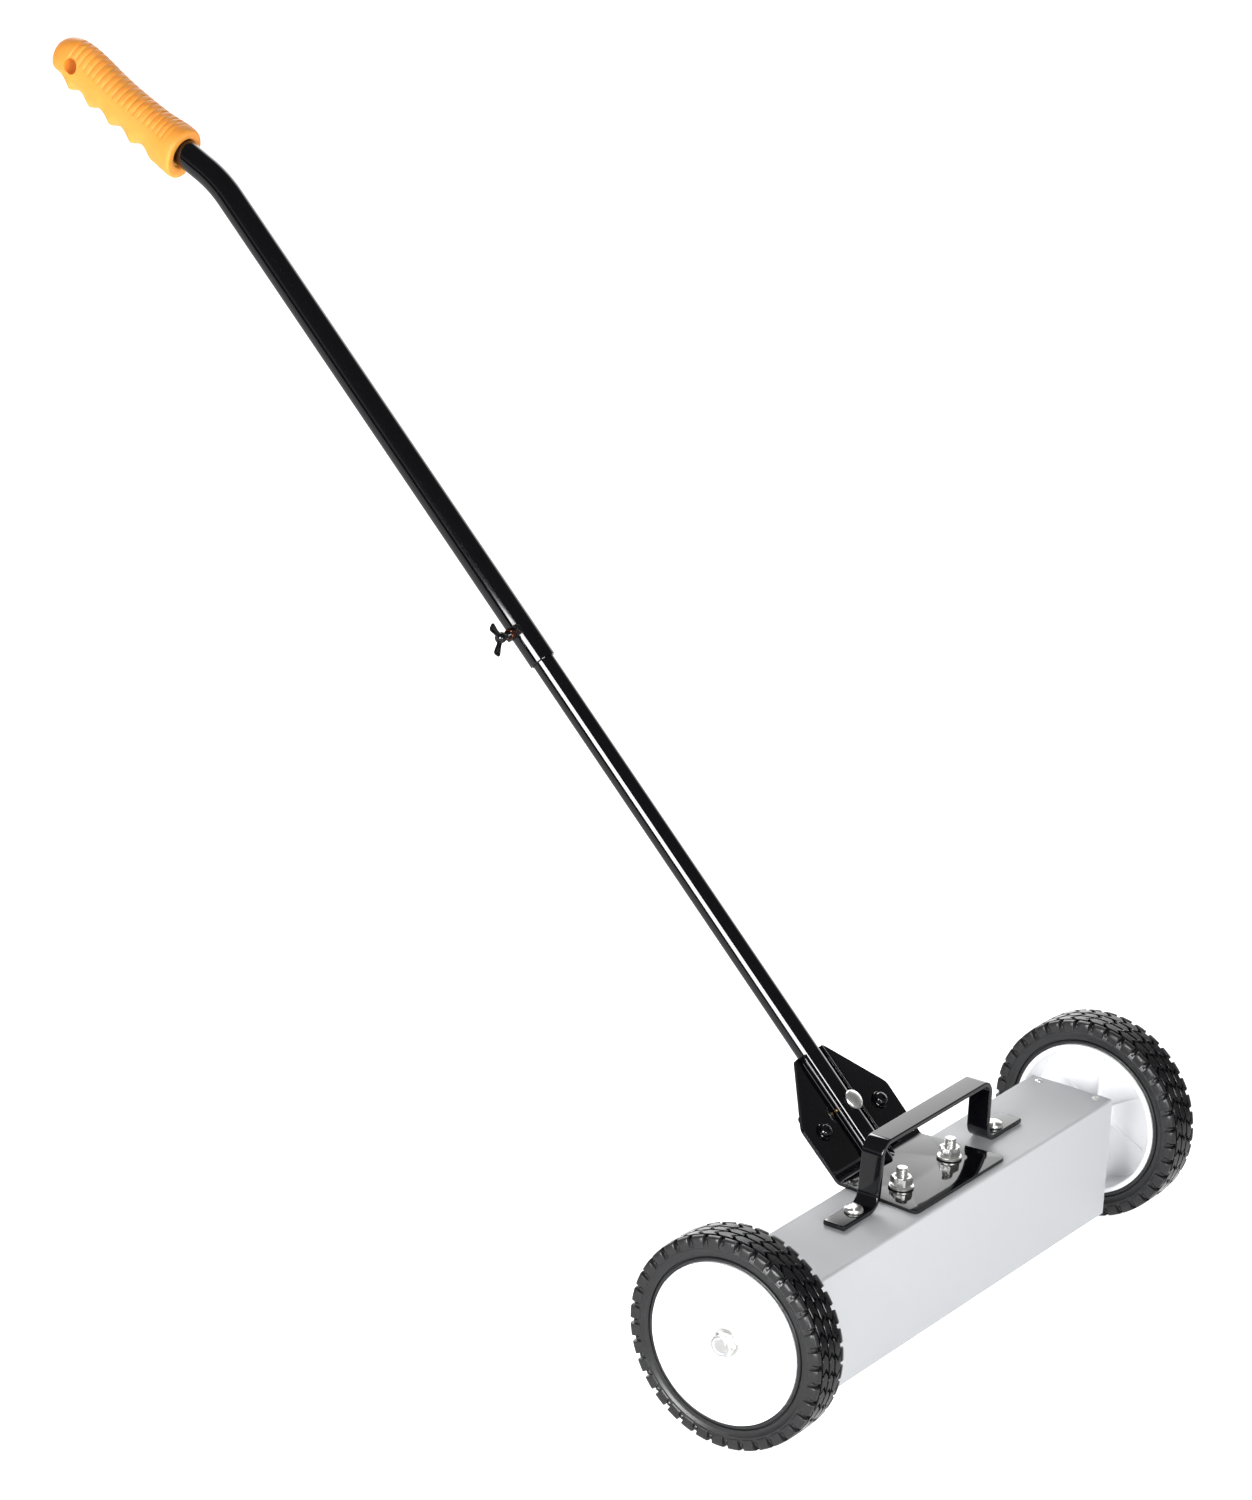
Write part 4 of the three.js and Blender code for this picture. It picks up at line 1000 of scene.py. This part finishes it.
def add_clamp():
    place = HANDLE @ shift(z=WING_SCREW_AT)
    hub = lathe(rounded([(0, 22.5), (2.9, 22.5), (2.9, 25.2, 0.5), (4.3, 26.2, 1), (5, 29.6, 2.6),
                         (4.4, 32.9, 1.6), (2.6, 34.3, 1.2), (0, 34.5)], 0.4, 6, False), 48)
    shank = thread(3, 10.3, 23, 1.0, 28, 6)
    axis = turn(-90, "Y")
    shapes = [moved(hub, axis), moved(shank, axis), wing_shape(0), wing_shape(180)]
    piece("fine_wing_screw", shapes, place, "clamp_screw", BLACK, ["wing_screw"])
    boss_low, boss_depth = 10.3, 4.2
    nut_low = boss_low + boss_depth + GAP
    nut = moved(hex_body(9, 4.5, 3.3), turn(12, "Z"), shift(z=nut_low), axis)
    piece("fine_jam_nut", [nut], place, "handle", COPPER, ["jam_nut"])
    outline = rounded([(-8.5, -4.5), (8.5, -4.5), (8.5, 4.5), (-8.5, 4.5)], 2.2, 6)
    boss = soften(moved(plate(outline, boss_depth), shift(z=boss_low)), 0.7, 3)
    boss = moved(boss, turn(90, "Z"), axis)
    bore = lathe([(0, -20), (12.3, -20), (12.3, 20), (0, 20)], 64)
    piece("fine_clamp_boss", [boss], place, "handle", BLACK, ["clamp_boss"], cutters=[screw_hole(), bore])


# ---------- frame nodes that stay ----------
def dress_frame():
    """Gives each CAD node that stays on show its material, and the square hidden ones eased edges."""
    looks = {"end_plate": SILVER, "bottom_cover": SILVER, "backing_plate": STEEL, "magnet": FERRITE,
             "cover_rivet": ZINC}
    for name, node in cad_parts.items():
        if node.hide_render:
            continue
        material = next(m for start, m in looks.items() if name.startswith(start))
        node.data.materials.clear()
        node.data.materials.append(material)
        if name.startswith(("magnet", "backing_plate")):
            weld = node.modifiers.new("weld", "WELD")
            weld.merge_threshold = 1e-6
            edge = node.modifiers.new("edge", "BEVEL")
            edge.width = 0.0006
            edge.segments = 2
            edge.limit_method = "ANGLE"


# ---------- surroundings ----------
def stage_piece(name, shape, material, glow):
    """Part of the studio, pale by its own glow and left out of reflections."""
    mesh = bpy.data.meshes.new(name)
    shape.to_mesh(mesh)
    shape.free()
    made = bpy.data.objects.new(name, mesh)
    bpy.context.scene.collection.objects.link(made)
    mesh.materials.append(material)
    shader = material.node_tree.nodes["Principled BSDF"]
    shader.inputs["Emission Color"].default_value = (1, 1, 1, 1)
    shader.inputs["Emission Strength"].default_value = glow
    made.visible_glossy = False
    return made


def add_floor():
    shape = bmesh.new()
    bmesh.ops.create_grid(shape, x_segments=8, y_segments=8, size=FLOOR_REACH)
    stage_piece("floor", shape, FLOOR, 0.85)


def add_backdrop():
    """A pale wall round the floor, which neither lights nor shades the tool."""
    wall = loft([[(x, y, z) for x, y in circle(BACKDROP_RADIUS, 96)] for z in (-0.1, 30)], capped=False)
    made = stage_piece("backdrop", wall, BACKDROP, 1.0)
    made.visible_diffuse = False
    made.visible_shadow = False


def add_light(name, place, aim, size, power, roll=0):
    """A rectangular softbox that faces a point."""
    data = bpy.data.lights.new(name, "AREA")
    data.shape = "RECTANGLE"
    data.size, data.size_y = size
    data.energy = power
    lamp = bpy.data.objects.new(name, data)
    facing = (Vector(aim) - Vector(place)).to_track_quat("-Z", "Y").to_matrix().to_4x4()
    lamp.matrix_world = Matrix.Translation(place) @ facing @ turn(roll, "Z")
    bpy.context.scene.collection.objects.link(lamp)


def add_world():
    """A dim room whose light depends on direction only: bright behind the tool and below it."""
    world = bpy.data.worlds.new("studio")
    world.use_nodes = True
    nodes = world.node_tree.nodes
    links = world.node_tree.links

    def span(source, *limits):
        """Turns a source smoothly from one range to another: from low, from high, to low, to high."""
        step = nodes.new("ShaderNodeMapRange")
        step.interpolation_type = "SMOOTHSTEP"
        for socket, value in zip(("From Min", "From Max", "To Min", "To Max"), limits):
            step.inputs[socket].default_value = value
        links.new(source, step.inputs["Value"])
        return step.outputs["Result"]

    def join(operation, one, two):
        step = nodes.new("ShaderNodeMath")
        step.operation = operation
        links.new(one, step.inputs[0])
        links.new(two, step.inputs[1])
        return step.outputs[0]

    way = nodes.new("ShaderNodeTexCoord").outputs["Generated"]
    split = nodes.new("ShaderNodeSeparateXYZ")
    links.new(way, split.inputs["Vector"])
    height = split.outputs["Z"]
    toward = nodes.new("ShaderNodeVectorMath")
    toward.operation = "DOT_PRODUCT"
    toward.inputs[1].default_value = (0.85, 0.52, 0)
    links.new(way, toward.inputs[0])
    behind = span(toward.outputs["Value"], 0.6, 0.9, 0, 2.2)
    backdrop = join("MULTIPLY", behind, span(height, 0.5, 0.75, 1, 0))
    below = span(height, -0.3, -0.12, 0.7, 0)
    wall = join("MULTIPLY", span(height, -0.03, 0.02, 0, 0.3), span(height, 0.16, 0.24, 1, 0.3))
    total = join("ADD", backdrop, join("ADD", below, wall))
    links.new(total, nodes["Background"].inputs["Strength"])
    nodes["Background"].inputs["Color"].default_value = (1, 1, 1, 1)
    bpy.context.scene.world = world


def add_lights():
    add_light("left_softbox", (-3.0, -0.41, 1.0), (0, -0.41, 1.0), (1.8, 1.0), 110, 46)
    add_light("front_softbox", (-1.6, -2.8, 1.0), (0, -0.2, 0.1), (1.6, 1.0), 60)
    add_light("back_softbox", (1.7, 1.8, 2.4), (0.1, 0, 0.1), (1.4, 1.2), 44)
    bpy.context.scene.view_settings.view_transform = "Standard"


def add_camera():
    data = bpy.data.cameras.new("camera")
    data.sensor_width = CAMERA_SENSOR
    data.lens = CAMERA_LENS
    level = math.cos(CAMERA_HEIGHT)
    back = Vector((math.sin(CAMERA_SIDE) * level, -math.cos(CAMERA_SIDE) * level, math.sin(CAMERA_HEIGHT)))
    across = (-back).cross(Vector((0, 0, 1))).normalized()
    up = across.cross(-back)
    x_axis = across * math.cos(CAMERA_ROLL) + up * math.sin(CAMERA_ROLL)
    y_axis = up * math.cos(CAMERA_ROLL) - across * math.sin(CAMERA_ROLL)
    camera = bpy.data.objects.new("camera", data)
    bpy.context.scene.collection.objects.link(camera)
    basis = Matrix((x_axis, y_axis, back)).transposed()
    camera.matrix_world = Matrix.Translation(AXLE + Vector(CAMERA_FROM_AXLE)) @ basis.to_4x4()
    bpy.context.scene.camera = camera


add_wheels()
add_axle()
add_housing()
add_bracket()
add_plate_bolts()
add_carry_handle()
add_handle()
add_clamp()
dress_frame()
add_floor()
add_backdrop()
add_world()
add_lights()
add_camera()
